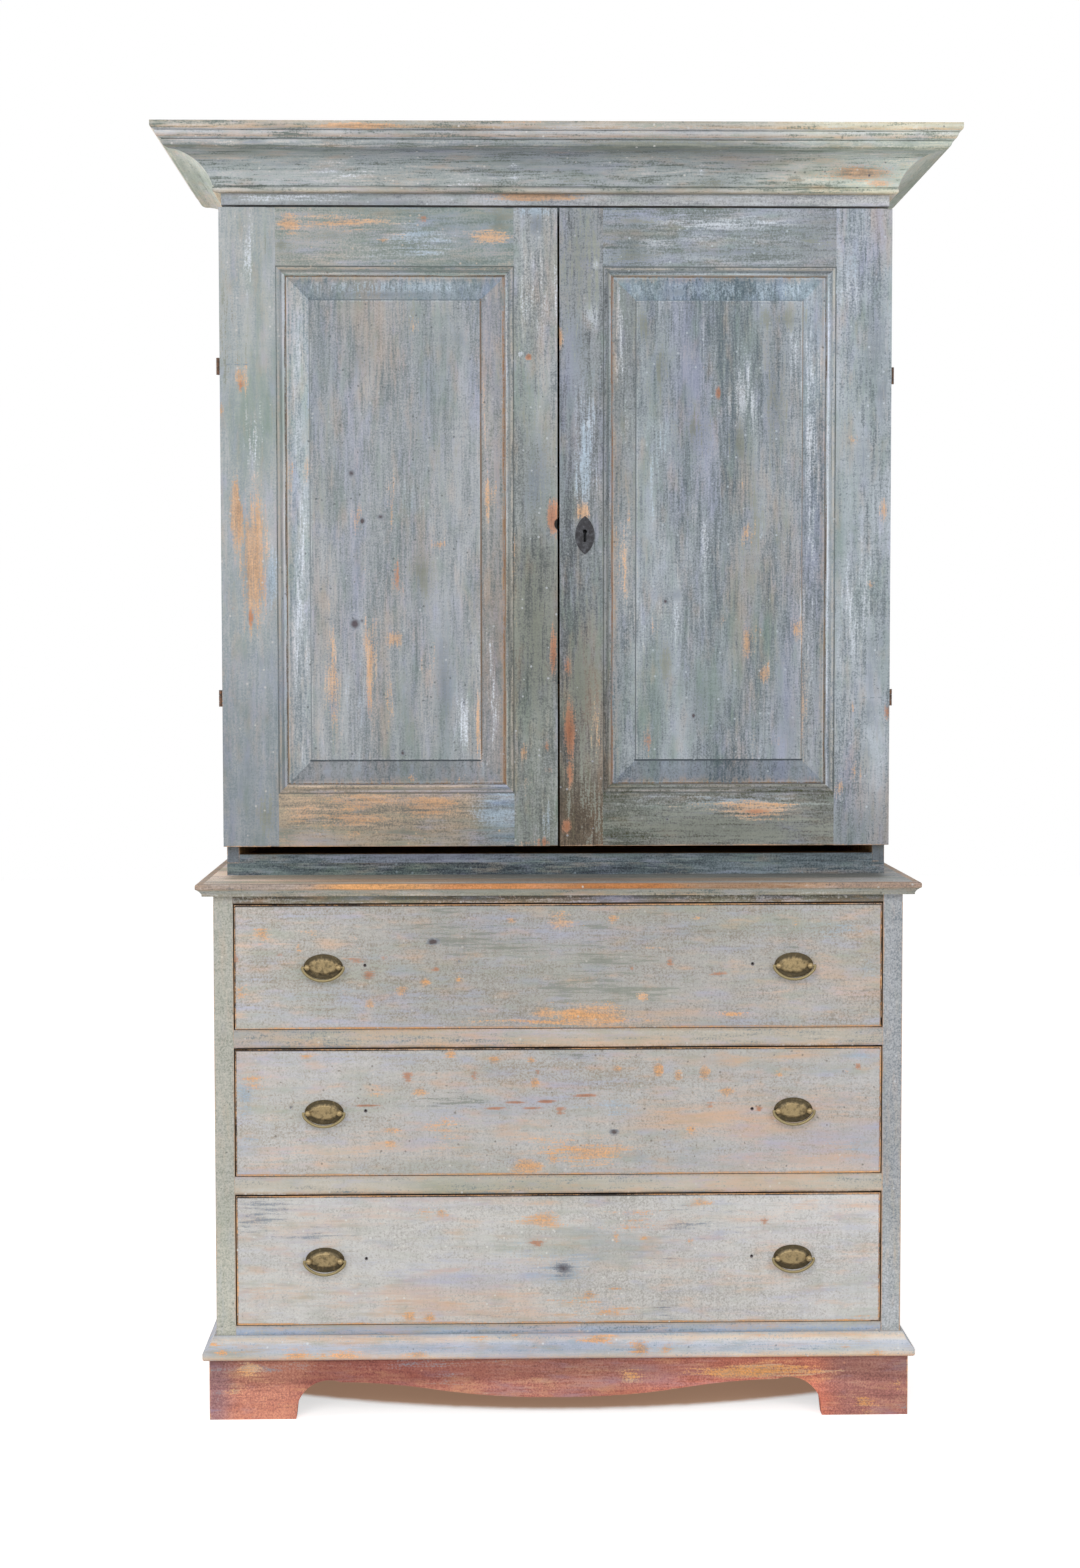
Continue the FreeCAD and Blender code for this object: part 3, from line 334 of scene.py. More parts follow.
def member_tones(strokes, place, bands, darker, lighter):
    """A moulding's paint, from heights in millimetres to colours, darker and lighter in streaks."""
    height = place.parts()[2] + strokes.broad * 0.003 + strokes.brush * 0.002
    low, high = bands[0][0] / 1000, bands[-1][0] / 1000
    share = height.node("ShaderNodeMapRange", {}, {"Value": height, "From Min": low, "From Max": high})
    colour = share.ramp([((z / 1000 - low) / (high - low), pigment(code)) for z, code in bands])
    colour = strokes.tone.over(0.5, 0.0).blend(colour, darker)
    return strokes.tone.over(0.5, 1.0).blend(colour, lighter)


def hazed(colour, at, strokes, run, hazes):
    """Thin mists of other colours over the coat, in broad patches and again in narrow ones."""
    for across, along, share in ((13, 4, 1.15), (52, 6, 0.75)):
        mists = at.noise(stretched(run, across, along), 4.0, 0.6, out="Color").parts()
        for mist, (code, amount) in zip(mists, hazes):
            mist = (mist + strokes.brush * 0.45 + strokes.speck * 0.25).over(0.5, 0.78)
            colour = (mist * min(0.85, amount * share)).blend(colour, pigment(code))
    return colour


class Opening:
    """Distances from the edges of a door's opening or a drawer front, positive inside it."""

    def __init__(self, place, edges):
        x, y, z = place.parts()
        left, right, bottom, top = edges
        self.sides = {"left": x - left, "right": right - x, "bottom": z - bottom, "top": top - z}
        self.nearest = extreme("MINIMUM", list(self.sides.values()))

    def slope(self, colour, strokes, side, at_top, at_foot):
        """Painted light and shade on the bevel along one side of a raised panel: lighter or darker
        than its field, as the lamps light that side, by one share low down and another higher up.
        """
        distance = self.sides[side]
        light = self.sides["bottom"].over(0.1, 0.7).blend(seen_as(*at_foot), seen_as(*at_top))
        mask = (self.nearest - distance).over(-0.0004, 0.0) * (1 - distance.over(0.038, 0.0395))
        mask = mask * distance.over(-0.0005, 0.0) * (strokes.brush * 0.8 + strokes.broad * 0.6 + 0.9)
        return mask.blend(colour, light, "MULTIPLY")

    def line(self, colour, strokes, side, inset, half_width, code, strength):
        """A line beside one edge, inset and half width in millimetres: rubbed where it is pale or orange,
        dirt with painted shade where it is dark.
        """
        distance = self.sides[side] + strokes.broad * 0.0012
        mask = 1 - (distance - inset / 1000).math("ABSOLUTE").over(half_width / 2000, half_width / 700)
        mask = mask * (self.nearest - (inset - half_width * 1.5) / 1000).over(-0.0006, 0.0)
        mask = mask * (strokes.ragged * 1.2 + strength).over(0.05, 0.75)
        return mask.blend(colour, pigment(code))


def marked(colour, place, strokes, marks, depth, rubs, edge_colour, wood_grain):
    """The coat with its marks, kind over kind, and where it is worn to the wood. rubs are fields
    of wear besides the marks, and edge_colour is the ground that they bare."""
    ragged, worn = strokes.ragged, None
    for kind, (thin, full, rough_rim, cloudy_rim, (start, end), cover) in MARK_KINDS.items():
        fields = [mark_field(place, marks[kind], depth)] if marks.get(kind) else []
        if kind == "bare":
            fields += rubs
        if not fields:
            continue
        field = extreme("MAXIMUM", fields)
        shown = (field + ragged * rough_rim + strokes.clouds * cloudy_rim).over(start, end) * cover
        if kind == "ink":
            own = (field + ragged * 0.5).over(0.5, 0.9).blend(pigment(thin), pigment(full))
        else:
            own = (field * 0.8 + ragged * 0.9).over(0.3, 1.1).blend(pigment(thin), pigment(full))
            own = own.vector("MULTIPLY", strokes.shade)
        if kind == "bare":
            bared = (wood_grain * 1.2 + strokes.speck * 1.4).over(-0.1, 0.5)
            own = bared.blend(own, strokes.shade.tinted(edge_colour))
            worn = shown
        colour = shown.blend(colour, own)
    return colour, worn


def speckled(colour, at, strokes, dark, lighter):
    """Grit in the paint, and small pale chips and dark specks scattered over it."""
    grit = (strokes.speck - 0.13).over(0.0, 0.12) * 0.3
    colour = grit.blend(colour, tuple(c * 0.6 for c in dark[:3]) + (1.0,))
    distance = at.cells((75, 75, 75), "Distance")
    lot = Layer(at.tree, distance.socket.node.outputs["Color"]).parts()
    spot = (distance + strokes.speck * 0.2).over(0.17, 0.1)
    colour = (spot * lot[0].over(0.72, 0.74) * 0.7).blend(colour, lighter)
    return (spot * lot[1].over(0.78, 0.8) * 0.7).blend(colour, tuple(c * 0.5 for c in dark[:3]) + (1.0,))


def old_paint(name, shades, run, seed, depth=0.0, edges=None, edge_wear=1.0, edge_colour="b9926f",
              painted=None, bands=None, streaks=1.0, blotches=1.0, flecks=0.0, hazes=HAZES_COOL,
              opening=None, slopes=(), lines=(), washes=(), fades=(), gap=None, arris_colour=None,
              painted_corner_light=None, **marks):
    """Distemper on pine, brushed along the grain. shades are the dark, usual and light tones;
    edges is the box whose arrises are rubbed; painted says where the brush went; bands, from
    heights to colours, tones a moulding member by member; the painted light and shade on a
    panel's bevels and the lines follow a panel's opening; washes lay another colour over a place,
    and fades change the tone slowly along the board, some of them as painted light; gap is the
    front of a joint, dark with dirt and painted shade; arris_colour shows where the board's
    arrises are rounded over; and the share of painted light in the corner round a panel makes
    the paint lighter there, against the shade that falls in that corner."""
    material, shader, place = new_material(name)
    at = place.vector("ADD", (seed * 1.7, seed * 2.3, seed * 0.9))
    strokes = Strokes(at, run, streaks, blotches)
    clouds, broad, brush, speck = strokes.clouds, strokes.broad, strokes.brush, strokes.speck
    dark, usual, light = (pigment(code) for code in shades)
    darker = tuple(max(0.0, b + (a - b) * 1.7) for a, b in zip(dark, usual))
    lighter = tuple(min(1.0, b + (a - b) * 2.0) for a, b in zip(light, usual))
    if bands:
        colour = member_tones(strokes, place, bands, darker, lighter)
    else:
        colour = strokes.tone.ramp([(0.04, darker), (0.3, dark), (0.5, usual), (0.7, light), (0.95, lighter)])
    colour = hazed(colour, at, strokes, run, hazes)
    for where, code in washes:
        colour = where(place, broad + brush).blend(colour, strokes.shade.tinted(code))
    inside = Opening(place, opening) if opening else None
    for slope in slopes:
        colour = inside.slope(colour, strokes, *slope)
    # Painted light: the paint is made lighter in the corner round a panel, against the shade that falls
    # there.
    if painted_corner_light:
        corner = 1 - inside.nearest.math("ABSOLUTE").over(0.0008, 0.006)
        colour = corner.blend(colour, seen_as(painted_corner_light, painted_corner_light, painted_corner_light), "MULTIPLY")
    for axis, start, end, shares in fades:
        mask = (place.parts()["xyz".index(axis)] + clouds * 0.08).over(start, end)
        colour = mask.blend(colour, seen_as(*shares), "MULTIPLY")
    for line in lines:
        colour = inside.line(colour, strokes, *line)
    wood, wood_grain = pine_colour(at, run)
    rubs = []
    if edges:
        rubs.append(arris_distance(place, *edges) * (-ARRIS_RUB / edge_wear) + 0.9 + clouds * 2.0)
    if flecks:
        rubs.append(at.cloud(stretched(run, 95, 7), 3.0, 0.6) * 3.2 + clouds + (flecks - 0.75))
    colour, worn = marked(colour, place, strokes, marks, depth, rubs, edge_colour, wood_grain)
    colour = speckled(colour, at, strokes, dark, lighter)
    height = brush * 0.7 + broad * 0.4 + speck * 0.6
    rough = speck * 0.25 + 0.62
    if worn is not None:
        height = height - worn * 0.25
    if arris_colour:
        arris = at.node("ShaderNodeAttribute", {"attribute_name": "arris"}, {}, out="Fac")
        arris = arris * (strokes.ragged * 0.9 + 0.75).over(0.2, 0.6)
        colour = arris.blend(colour, strokes.shade.tinted(arris_colour))
    # Dirt and painted shade in a joint: bare wood behind the front darkens, and paint on the joint's faces
    # goes nearly black for the shadow in the gap.
    if gap is not None:
        sunk = place.parts()[1] - gap
        reach = DOOR_REACH if painted_corner_light else DRAWER_REACH
        wood = (1 - sunk.over(0.004, reach)).blend(wood, pigment("2e231b"))
        grime_and_shade = sunk.over(0.0012, 0.0035) * 0.85
        if painted_corner_light:
            grime_and_shade = grime_and_shade * inside.nearest.over(-0.02, -0.03)
        colour = grime_and_shade.blend(colour, pigment("1d1814"))
    if painted:
        there = painted(place, strokes.ragged)
        colour = there.blend(wood, colour)
        height = there * 0.4 + height
        rough = rough + (1 - there) * 0.08
    finish_with(shader, material.node_tree, Base_Color=colour, Roughness=rough,
                Normal=height.bump(0.6, 0.0009), Specular_IOR_Level=0.3)
    return material


def dress(node, material):
    """The CAD piece keeps its shape and gets its finish."""
    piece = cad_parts[node]
    if not piece.data.materials:
        piece.data.materials.append(material)
    for slot in piece.material_slots:
        slot.material = material


# The least turn of an arris, of an edge that is shown sharp and of one that is kept, in radians;
# the least length of an arris and width of the faces beside it, and the lengths it is cut into,
# in metres.
ARRIS_TURN, SMOOTH_TURN, FLAT_TURN = 0.9, 0.6, 0.004
SHORTEST_ARRIS, NARROWEST_FACE, ARRIS_STEP = 0.03, 0.004, 0.014


def free_arrises(form, handled):
    """A board's long convex edges, cut into short lengths. handled, where it is given, tells the
    arrises that can be touched from the ones in a joint."""
    def free(edge):
        if handled and not handled((edge.verts[0].co + edge.verts[1].co) / 2):
            return False
        length = edge.calc_length()
        return (edge.is_manifold and edge.calc_face_angle_signed(0) > ARRIS_TURN and length > SHORTEST_ARRIS
                and min(face.calc_area() for face in edge.link_faces) > NARROWEST_FACE * length)

    whole = [edge for edge in form.edges if free(edge)]
    lengths = list(whole)
    for edge in whole:
        made = bmesh.ops.subdivide_edges(form, edges=[edge], cuts=int(edge.calc_length() / ARRIS_STEP))
        lengths += [part for part in made["geom_inner"] if isinstance(part, bmesh.types.BMEdge)]
    return list({edge for edge in lengths if edge.is_valid})


def dent(form, rounded, dents, seed):
    """Push the rounded arrises in here and there, and leave the flat faces flat."""
    flats = set(form.faces) - set(rounded)
    moves = []
    for vert in {corner for face in rounded for corner in face.verts}:
        worn = noise.noise(vert.co * 24 + Vector((seed, 0, 0))) + 0.6 * noise.noise(vert.co * 75)
        inward = -vert.normal
        beside = [face for face in vert.link_faces if face in flats]
        if len(beside) > 1:
            continue
        if beside:
            inward = inward - beside[0].normal * inward.dot(beside[0].normal)
            inward.normalize()
        moves.append((vert, inward * max(0.0, worn) * dents))
    for vert, move in moves:
        vert.co += move


def worn_board(node, body, material, round_over=0.0012, dents=0.0016, seed=0, handled=None):
    """The board in place of its CAD solid, with its arrises rounded over by use, unevenly."""
    form = bmesh.new()
    form.from_mesh(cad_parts[node].data)
    bmesh.ops.remove_doubles(form, verts=form.verts, dist=1e-5)
    bmesh.ops.dissolve_limit(form, angle_limit=FLAT_TURN, verts=form.verts, edges=form.edges)
    made = bmesh.ops.bevel(form, geom=free_arrises(form, handled), offset=round_over, offset_type="OFFSET",
                           segments=3, profile=0.5, affect="EDGES", clamp_overlap=True)
    form.normal_update()
    rounded = form.loops.layers.float.new("arris")
    for face in made["faces"]:
        for corner in face.loops:
            corner[rounded] = 1.0
    dent(form, made["faces"], dents, seed)
    mesh = bpy.data.meshes.new(node + "_worn")
    form.to_mesh(mesh)
    form.free()
    mesh.shade_smooth()
    mesh.set_sharp_from_angle(angle=SMOOTH_TURN)
    mesh.materials.clear()
    mesh.materials.append(material)
    piece = bpy.data.objects.new(node + "_worn", mesh)
    bpy.context.collection.objects.link(piece)
    weighted = piece.modifiers.new("flat_faces_stay_flat", "WEIGHTED_NORMAL")
    weighted.keep_sharp = True
    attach(piece, body)
    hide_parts(node)


PLINTH_FRONT = -0.2905
plinth_red = dict(shades=("87554b", "a1675a", "b57d6a"), flecks=0.2, edge_colour="d59a5c", streaks=0.6,
                  hazes=(("c09a70", 0.5), ("8a7480", 0.6), ("93513f", 0.5)))
plinth_paint = old_paint(
    "plinth_front_paint", run="x", seed=3, depth=PLINTH_FRONT, arris_colour="dba585", edge_wear=0.7,
    edges=((-0.56, PLINTH_FRONT, -0.05), (0.56, -0.2665, 0.097)),
    # The first fade lightens the feet below the arch: partly painted light, as the board over the arch lies
    # in shade, partly the paint's tone.
    fades=[("z", 0.07, 0.045, (1.2, 1.2, 1.2)), ("x", 0.05, 0.3, (1.17, 1.09, 1.03)),
           ("x", 0.0, -0.3, (0.93, 0.86, 0.88)), ("x", -0.51, -0.55, (0.86, 0.95, 1.1)),
           ("x", -0.38, -0.44, (1.15, 1.28, 1.22)), ("x", 0.4, 0.46, (0.8, 0.9, 1.0))],
    bare=[(-497, 84, 21, 13, 0.8), (-521, 51, 19, 13, 0.8), (317, 72, 118, 18, 1.0), (114, 64, 24, 18, 0.5),
          (488, 22, 27, 18, 0.6), (492, -11, 15, 21, 0.8), (544, 48, 12, 24, 0.5)],
    slate=[(-547, 35, 13, 22, 0.6), (-486, 87, 70, 10, 0.4), (-184, 65, 24, 10, 0.4), (558, 20, 10, 16, 0.4),
           (-248, 88, 120, 6, 0.3)], **plinth_red)
worn_board("plinth_front", "carcase", plinth_paint, round_over=0.003, dents=0.003)
dress("plinth_boards", old_paint("plinth_side_paint", run="y", seed=4, **plinth_red))


# Base moulding: a run of ogee moulding nailed round the foot of the chest and mitred at the
# front corners. Painted pale blue over peach, which shows along its nose and in flakes.
MOULDING_BANDS = [(97, "b8977e"), (99, "ddb594"), (103, "d6c6b6"), (108, "c6c8cc"), (114, "c0c6d6"),
                  (120, "c8ccda"), (124, "d6d1cf"), (128, "dccbbb"), (133, "b4b8be"), (134, "a6abb0")]
dress("base_moulding", old_paint(
    "base_moulding_paint", ("a3adb8", "bfc1c5", "cfd2d6"), "x", 6, depth=None, bands=MOULDING_BANDS,
    flecks=0.42, hazes=HAZES_WARM, edge_colour="d9a06c", fades=[("x", 0.05, 0.3, (1.045, 1.04, 1.02))],
    bare=[(-421, 106, 29, 11, 0.77), (-342, 106, 29, 9, 0.59), (-226, 107, 25, 9, 0.68),
          (-128, 129, 38, 7, 0.51), (-70, 131, 13, 7, 0.68), (62, 125, 33, 9, 0.77), (129, 111, 22, 15, 0.94),
          (170, 112, 19, 9, 0.68), (339, 128, 53, 7, 0.42), (459, 129, 45, 7, 0.34), (507, 100, 20, 10, 0.77),
          (382, 96, 16, 8, 0.68), (-539, 111, 13, 10, 0.68), (-44, 111, 20, 6, 0.51)],
    sky=[(-246, 116, 125, 8, 0.7), (-22, 117, 157, 13, 0.6), (286, 113, 100, 11, 0.5)]))


# Chest: two thick sides, with rails tenoned between them that divide the drawers, boards for
# the bottom and back, and runners and stops for the drawers. Painted outside only; the inside
# and the back are bare pine gone brown.
CHEST_FRONT, CHEST_SIDE = -0.2795, 0.549


def front_only(front, lap=0.006):
    """Paint on the front, lapping a little way round the edges."""
    def painted(place, ragged):
        return 1 - (place.parts()[1] + ragged * 0.004).over(front + lap * 0.6, front + lap)
    return painted


def outside_only(side, outer, front):
    """Paint on the outer face of a side board and on its front edge."""
    def painted(place, ragged):
        x, y, _ = place.parts()
        face = (x * side + ragged * 0.002).over(outer - 0.004, outer - 0.002)
        edge = 1 - (y + ragged * 0.003).over(front + 0.002, front + 0.005)
        return face.math("MAXIMUM", edge)
    return painted


for side, sign, shades, seed in (("left", -1, ("94978c", "b0afa6", "c2bfb4"), 8),
                                 ("right", 1, ("7f868c", "9fa2a6", "b6b9be"), 9)):
    paint = old_paint("chest_side_paint_" + side, shades, "z", seed, depth=CHEST_FRONT,
                      edges=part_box("base_side_" + side), edge_wear=0.7, streaks=0.25, blotches=0.35,
                      painted=outside_only(sign, CHEST_SIDE, CHEST_FRONT), hazes=HAZES_CALM,
                      fades=[("z", 0.42, 0.2, (1.09, 1.09, 1.08))])
    worn_board("base_side_" + side, "carcase", paint, seed=seed)
# The top rail's dark bands at 834 and 841 mm are painted shade under the chest top's overhang; the pale band
# at 830 mm is a painted highlight.
RAIL_BANDS = [(97, "989ea6"), (134, "97a7be"), (142, "aebace"), (149, "b0a394"), (361, "6e5a48"),
              (363, "bda78f"), (366, "c0b8aa"), (386, "c0bbb0"), (390, "b8a28c"), (597, "6a5644"),
              (599, "b59c82"), (603, "b9b0a2"), (622, "b7b1a5"), (626, "ab937a"), (828, "5c4a38"),
              (830, "8a7860"), (834, "605748"), (841, "514a3c")]
rail_paint = old_paint("rail_paint", ("8f9290", "aaa69c", "bcb8b0"), "x", 11, depth=CHEST_FRONT,
                       bands=RAIL_BANDS, hazes=HAZES_WARM, gap=CHEST_FRONT,
                       painted=front_only(CHEST_FRONT, 0.004))
worn_board("drawer_rails", "carcase", rail_paint, round_over=0.0008, dents=0.0012)


def bare_pine(name, run, seed, tones=("b8915f", "a07849", "745738"), boards=None):
    """Unpainted boards, planed, dusty and darkened. boards is the left edge of the first of a
    row of upright boards, and how wide each is."""
    material, shader, place = new_material(name)
    at = place.vector("ADD", (seed * 1.3, seed * 2.9, seed * 0.7))
    if boards:
        first, width = boards
        number = (place.parts()[0] - first) * (1 / width)
        seam = number.math("FRACT")
        number = number.math("FLOOR")
        at = at.vector("ADD", number * 0.73)
    wood, wood_grain = pine_colour(at, run, tones)
    if boards:
        paler = (number * 0.618).math("FRACT") * 0.8
        wood = paler.blend(wood, seen_as(0.84, 0.82, 0.8), "MULTIPLY")
        seam = seam.math("MINIMUM", 1 - seam) * width
        wood = (1 - (seam + wood_grain * 0.001).over(0.0008, 0.0022)).blend(wood, pigment("33271d"))
    dust = at.cloud((60, 60, 60), 4.0, 0.7)
    wood = (dust * 2.0 + 0.1).over(0.0, 0.9).blend(wood, pigment("8b7a66"))
    knot = at.cells(stretched(run, 5.5, 7), "Distance") + wood_grain * 0.03
    wood = knot.over(0.13, 0.06).blend(wood, pigment("5b3b22"))
    finish_with(shader, material.node_tree, Base_Color=wood, Roughness=dust * 0.3 + 0.72,
                Normal=(wood_grain + dust * 0.5).bump(0.5, 0.0008), Specular_IOR_Level=0.25)
    return material


BACK_BOARDS = 5


def board_row(node):
    """Where a back's first board starts, and how wide each board is."""
    low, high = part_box(node)
    return low.x, (high.x - low.x) / BACK_BOARDS


block_pine = bare_pine("block_pine", "z", 21)
lengthwise_pine = bare_pine("inside_board_pine", "x", 22)
dress("base_back_boards", bare_pine("chest_back_pine", "z", 26, boards=board_row("base_back_boards")))
dress("base_bottom_board", lengthwise_pine)
dress("drawer_runners", bare_pine("runner_pine", "y", 23))
dress("plinth_corner_blocks", block_pine)


# Drawers: pine boxes dovetailed behind thick fronts, with thin bottoms let into grooves. Only
# the fronts are painted, warm grey over peach, and rubbed along every edge; knots and the
# plugged holes of older handles show through.
# The near-black lines at the top and sides of a drawer front are dirt and painted shade of the gaps round it;
# the orange ones are rubbed.
DRAWER_LINES = [("bottom", 1.6, 1.5, "bb8a5c", 0.4), ("right", 1.4, 1.6, "a8713f", 0.45),
                ("left", 0.5, 1.5, "33271e", 0.9), ("right", 0.4, 1.3, "33271e", 0.9),
                ("top", 0.7, 2.2, "241c16", 1.1)]
OLD_HOLE_MM, HOLE_RISE_MM, HOLE_HALF_MM = 309, 2.5, 2.7
drawer_pine = bare_pine("drawer_side_pine", "y", 24, ("c09a6c", "a07a4c", "7b6042"))
bottom_pine = bare_pine("drawer_bottom_pine", "x", 25, ("bb9566", "9c7648", "745a3e"))


def drawer(name, shades, seed, left_share, right_share, **marks):
    """One drawer, with the shares by which its front is lighter towards its ends."""
    low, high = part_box(name + "_drawer_front")
    middle = (low.z + high.z) * 500
    marks["ink"] = marks.get("ink", []) + [
        (side * OLD_HOLE_MM, middle + HOLE_RISE_MM, HOLE_HALF_MM, HOLE_HALF_MM, 2.2) for side in (-1, 1)]
    paint = old_paint(name + "_drawer_paint", shades, "x", seed, depth=CHEST_FRONT, edges=(low, high),
                      edge_wear=0.8, edge_colour="cf9a66", opening=(low.x, high.x, low.z, high.z),
                      lines=DRAWER_LINES, painted=front_only(CHEST_FRONT, 0.004), gap=CHEST_FRONT,
                      streaks=0.45, blotches=0.75, hazes=HAZES_WARM,
                      fades=[("x", -0.15, -0.5, (left_share, left_share, left_share)),
                             ("x", 0.15, 0.5, (right_share, right_share, right_share * 1.01))], **marks)
    worn_board(name + "_drawer_front", name + "_drawer", paint,
               round_over=0.001, dents=0.0014)
    dress(name + "_drawer_box", drawer_pine)
    dress(name + "_drawer_bottom", bottom_pine)


drawer(
    "upper", ("928c83", "a4a29e", "b3b0ab"), 31, 1.1, 1.06,
    bare=[(-472, 781, 16, 18, 0.5), (-391, 778, 24, 11, 0.4), (-414, 758, 9, 15, 0.5),
          (-321, 759, 23, 17, 0.4), (-508, 684, 16, 13, 0.5), (-76, 800, 12, 8, 0.9), (2, 797, 28, 19, 0.8),
          (86, 802, 11, 9, 0.9), (52, 646, 61, 19, 1.3), (-24, 652, 29, 15, 0.9), (1, 637, 144, 10, 0.7),
          (276, 650, 26, 11, 0.4), (220, 803, 18, 10, 0.4), (377, 791, 11, 11, 0.4), (141, 757, 31, 7, 0.5),
          (133, 675, 7, 7, 0.6), (-250, 688, 15, 11, 0.8), (-214, 702, 11, 10, 0.9), (-301, 669, 10, 12, 0.9),
          (-160, 705, 8, 11, 0.6), (-341, 681, 8, 8, 0.5)],
    rust=[(-303, 712, 14, 10, 0.8), (-322, 737, 22, 7, 0.8), (-279, 738, 9, 6, 0.6), (-444, 748, 11, 6, 0.5),
          (116, 723, 5, 5, 0.9), (177, 732, 8, 10, 0.7), (-514, 736, 8, 14, 0.6), (-196, 722, 10, 6, 0.7),
          (252, 713, 18, 5, 0.8)],
    ink=[(-201, 766, 11, 6, 1.2), (-159, 735, 5, 4, 0.7)],
    olive=[(-127, 778, 132, 45, 0.45), (67, 736, 72, 71, 0.45), (1, 696, 70, 30, 0.4),
           (365, 776, 23, 42, 0.35), (156, 808, 37, 14, 0.4)],
    sky=[(447, 786, 53, 15, 0.6), (-3, 728, 31, 19, 0.4), (495, 732, 21, 21, 0.6)],
    pale=[(-491, 812, 22, 16, 0.4), (-110, 739, 111, 6, 0.3)])
drawer(
    "middle", ("a29b92", "b3b2b0", "c0bdb9"), 32, 1.06, 1.02,
    bare=[(-173, 587, 11, 9, 0.8), (-103, 576, 14, 10, 0.8), (-44, 574, 9, 8, 0.6), (-222, 528, 16, 10, 0.9),
          (-289, 533, 16, 15, 0.5), (-39, 539, 11, 11, 0.8), (-488, 544, 24, 18, 0.5),
          (-404, 582, 13, 7, 0.6), (-270, 465, 19, 12, 0.6), (-270, 443, 12, 11, 0.8),
          (-52, 405, 30, 16, 1.0), (-10, 418, 18, 15, 0.7), (43, 427, 80, 26, 0.7), (94, 559, 13, 11, 0.8),
          (159, 559, 9, 15, 1.2), (191, 549, 9, 10, 1.1), (233, 553, 11, 12, 1.3), (268, 523, 14, 9, 1.0),
          (353, 550, 9, 8, 0.6), (458, 549, 11, 11, 0.4), (211, 462, 11, 10, 0.7), (115, 535, 30, 11, 0.6),
          (-183, 461, 30, 26, 0.4)],
    rust=[(-136, 552, 10, 11, 0.7), (-241, 549, 10, 11, 0.7), (-34, 556, 6, 10, 0.7), (-71, 508, 21, 3, 1.0),
          (-103, 498, 27, 3, 0.9), (-20, 509, 16, 3, 1.1), (-43, 498, 23, 3, 0.8), (41, 518, 21, 3, 1.0),
          (-309, 504, 36, 3, 1.0), (1, 492, 11, 10, 0.8), (241, 502, 10, 8, 0.8), (320, 495, 6, 6, 0.9),
          (479, 563, 8, 6, 0.9)],
    ink=[(88, 459, 11, 7, 1.0), (-428, 502, 5, 5, 0.8), (-444, 512, 4, 5, 0.6), (-418, 519, 7, 3, 0.6)],
    sky=[(-501, 519, 21, 34, 0.8), (-495, 453, 24, 16, 0.6), (89, 491, 46, 29, 0.5), (475, 428, 20, 29, 0.5),
         (449, 428, 37, 11, 0.4), (487, 581, 27, 11, 0.5)],
    olive=[(-174, 510, 48, 8, 0.3), (30, 582, 35, 10, 0.4)])
drawer(
    "lower", ("aeaba6", "c6c4c1", "d0cfcb"), 33, 1.0, 1.04,
    slate=[(-483, 324, 37, 36, 0.5), (-442, 332, 18, 15, 0.3), (-389, 297, 32, 13, 0.25),
           (-326, 284, 20, 10, 0.35), (176, 254, 24, 16, 0.5), (-102, 165, 45, 10, 0.6),
           (96, 349, 37, 10, 0.5), (171, 175, 29, 24, 0.4), (197, 298, 67, 50, 0.25)],
    ink=[(7, 238, 21, 16, 0.85), (53, 240, 15, 5, 0.4)],
    sky=[(14, 231, 64, 44, 0.7), (-63, 265, 32, 12, 0.4), (52, 346, 51, 6, 0.4)],
    bare=[(-207, 334, 38, 12, 0.5), (-189, 331, 14, 10, 0.8), (-284, 309, 13, 10, 0.4),
          (-26, 321, 34, 26, 0.6), (59, 182, 80, 34, 0.4), (49, 197, 19, 10, 0.8), (91, 205, 29, 8, 0.7),
          (91, 291, 10, 10, 0.7), (136, 288, 10, 7, 0.7), (210, 280, 11, 10, 0.6), (113, 316, 55, 29, 0.5),
          (226, 348, 22, 11, 0.6), (-240, 161, 11, 11, 0.8), (-208, 159, 11, 9, 0.8), (487, 153, 19, 8, 0.7)],
    rust=[(-35, 277, 15, 11, 0.7), (330, 312, 10, 10, 0.5)])


# Pulls: stamped oval brass plates with a raised middle, two posts with nuts inside the
# drawer, and a bail that swings on the posts. The brass has gone olive brown, and is
# brighter where hands have rubbed it.
def old_brass(name, proud, tones, seed):
    """Tarnished brass. proud is how far in front of the cupboard's middle its rubbed parts stand."""
    material, shader, place = new_material(name)
    at = place.vector("ADD", (seed, seed * 2, 0))
    cloud = at.cloud((160, 160, 160), 3.0, 0.6)
    pits = at.cloud((900, 900, 900), 2.0, 0.6)
    rubbed = (place.parts()[1] * -1 + cloud * 0.004).over(proud - 0.004, proud + 0.001)
    colour = (rubbed + cloud * 0.9).over(0.0, 1.0).blend(pigment(tones[0]), pigment(tones[1]))
    colour = (cloud * 1.6 + pits * 1.4).over(0.15, 0.7).blend(colour, pigment("4a402d"))
    finish_with(shader, material.node_tree, Base_Color=colour, Metallic=0.6,
                Roughness=pits * 0.4 + 0.48 + cloud * 0.3, Normal=(pits + cloud * 0.8).bump(0.4, 0.0004))
    return material


plate_brass = old_brass("pull_plate_brass", 0.284, ("4e4430", "a9946c"), 41)
bail_brass = old_brass("bail_brass", 0.289, ("544a33", "958763"), 42)
for name in ("upper", "middle", "lower"):
    dress(name + "_drawer_pull_plates", plate_brass)
    dress(name + "_drawer_left_bail", bail_brass)
    dress(name + "_drawer_right_bail", bail_brass)


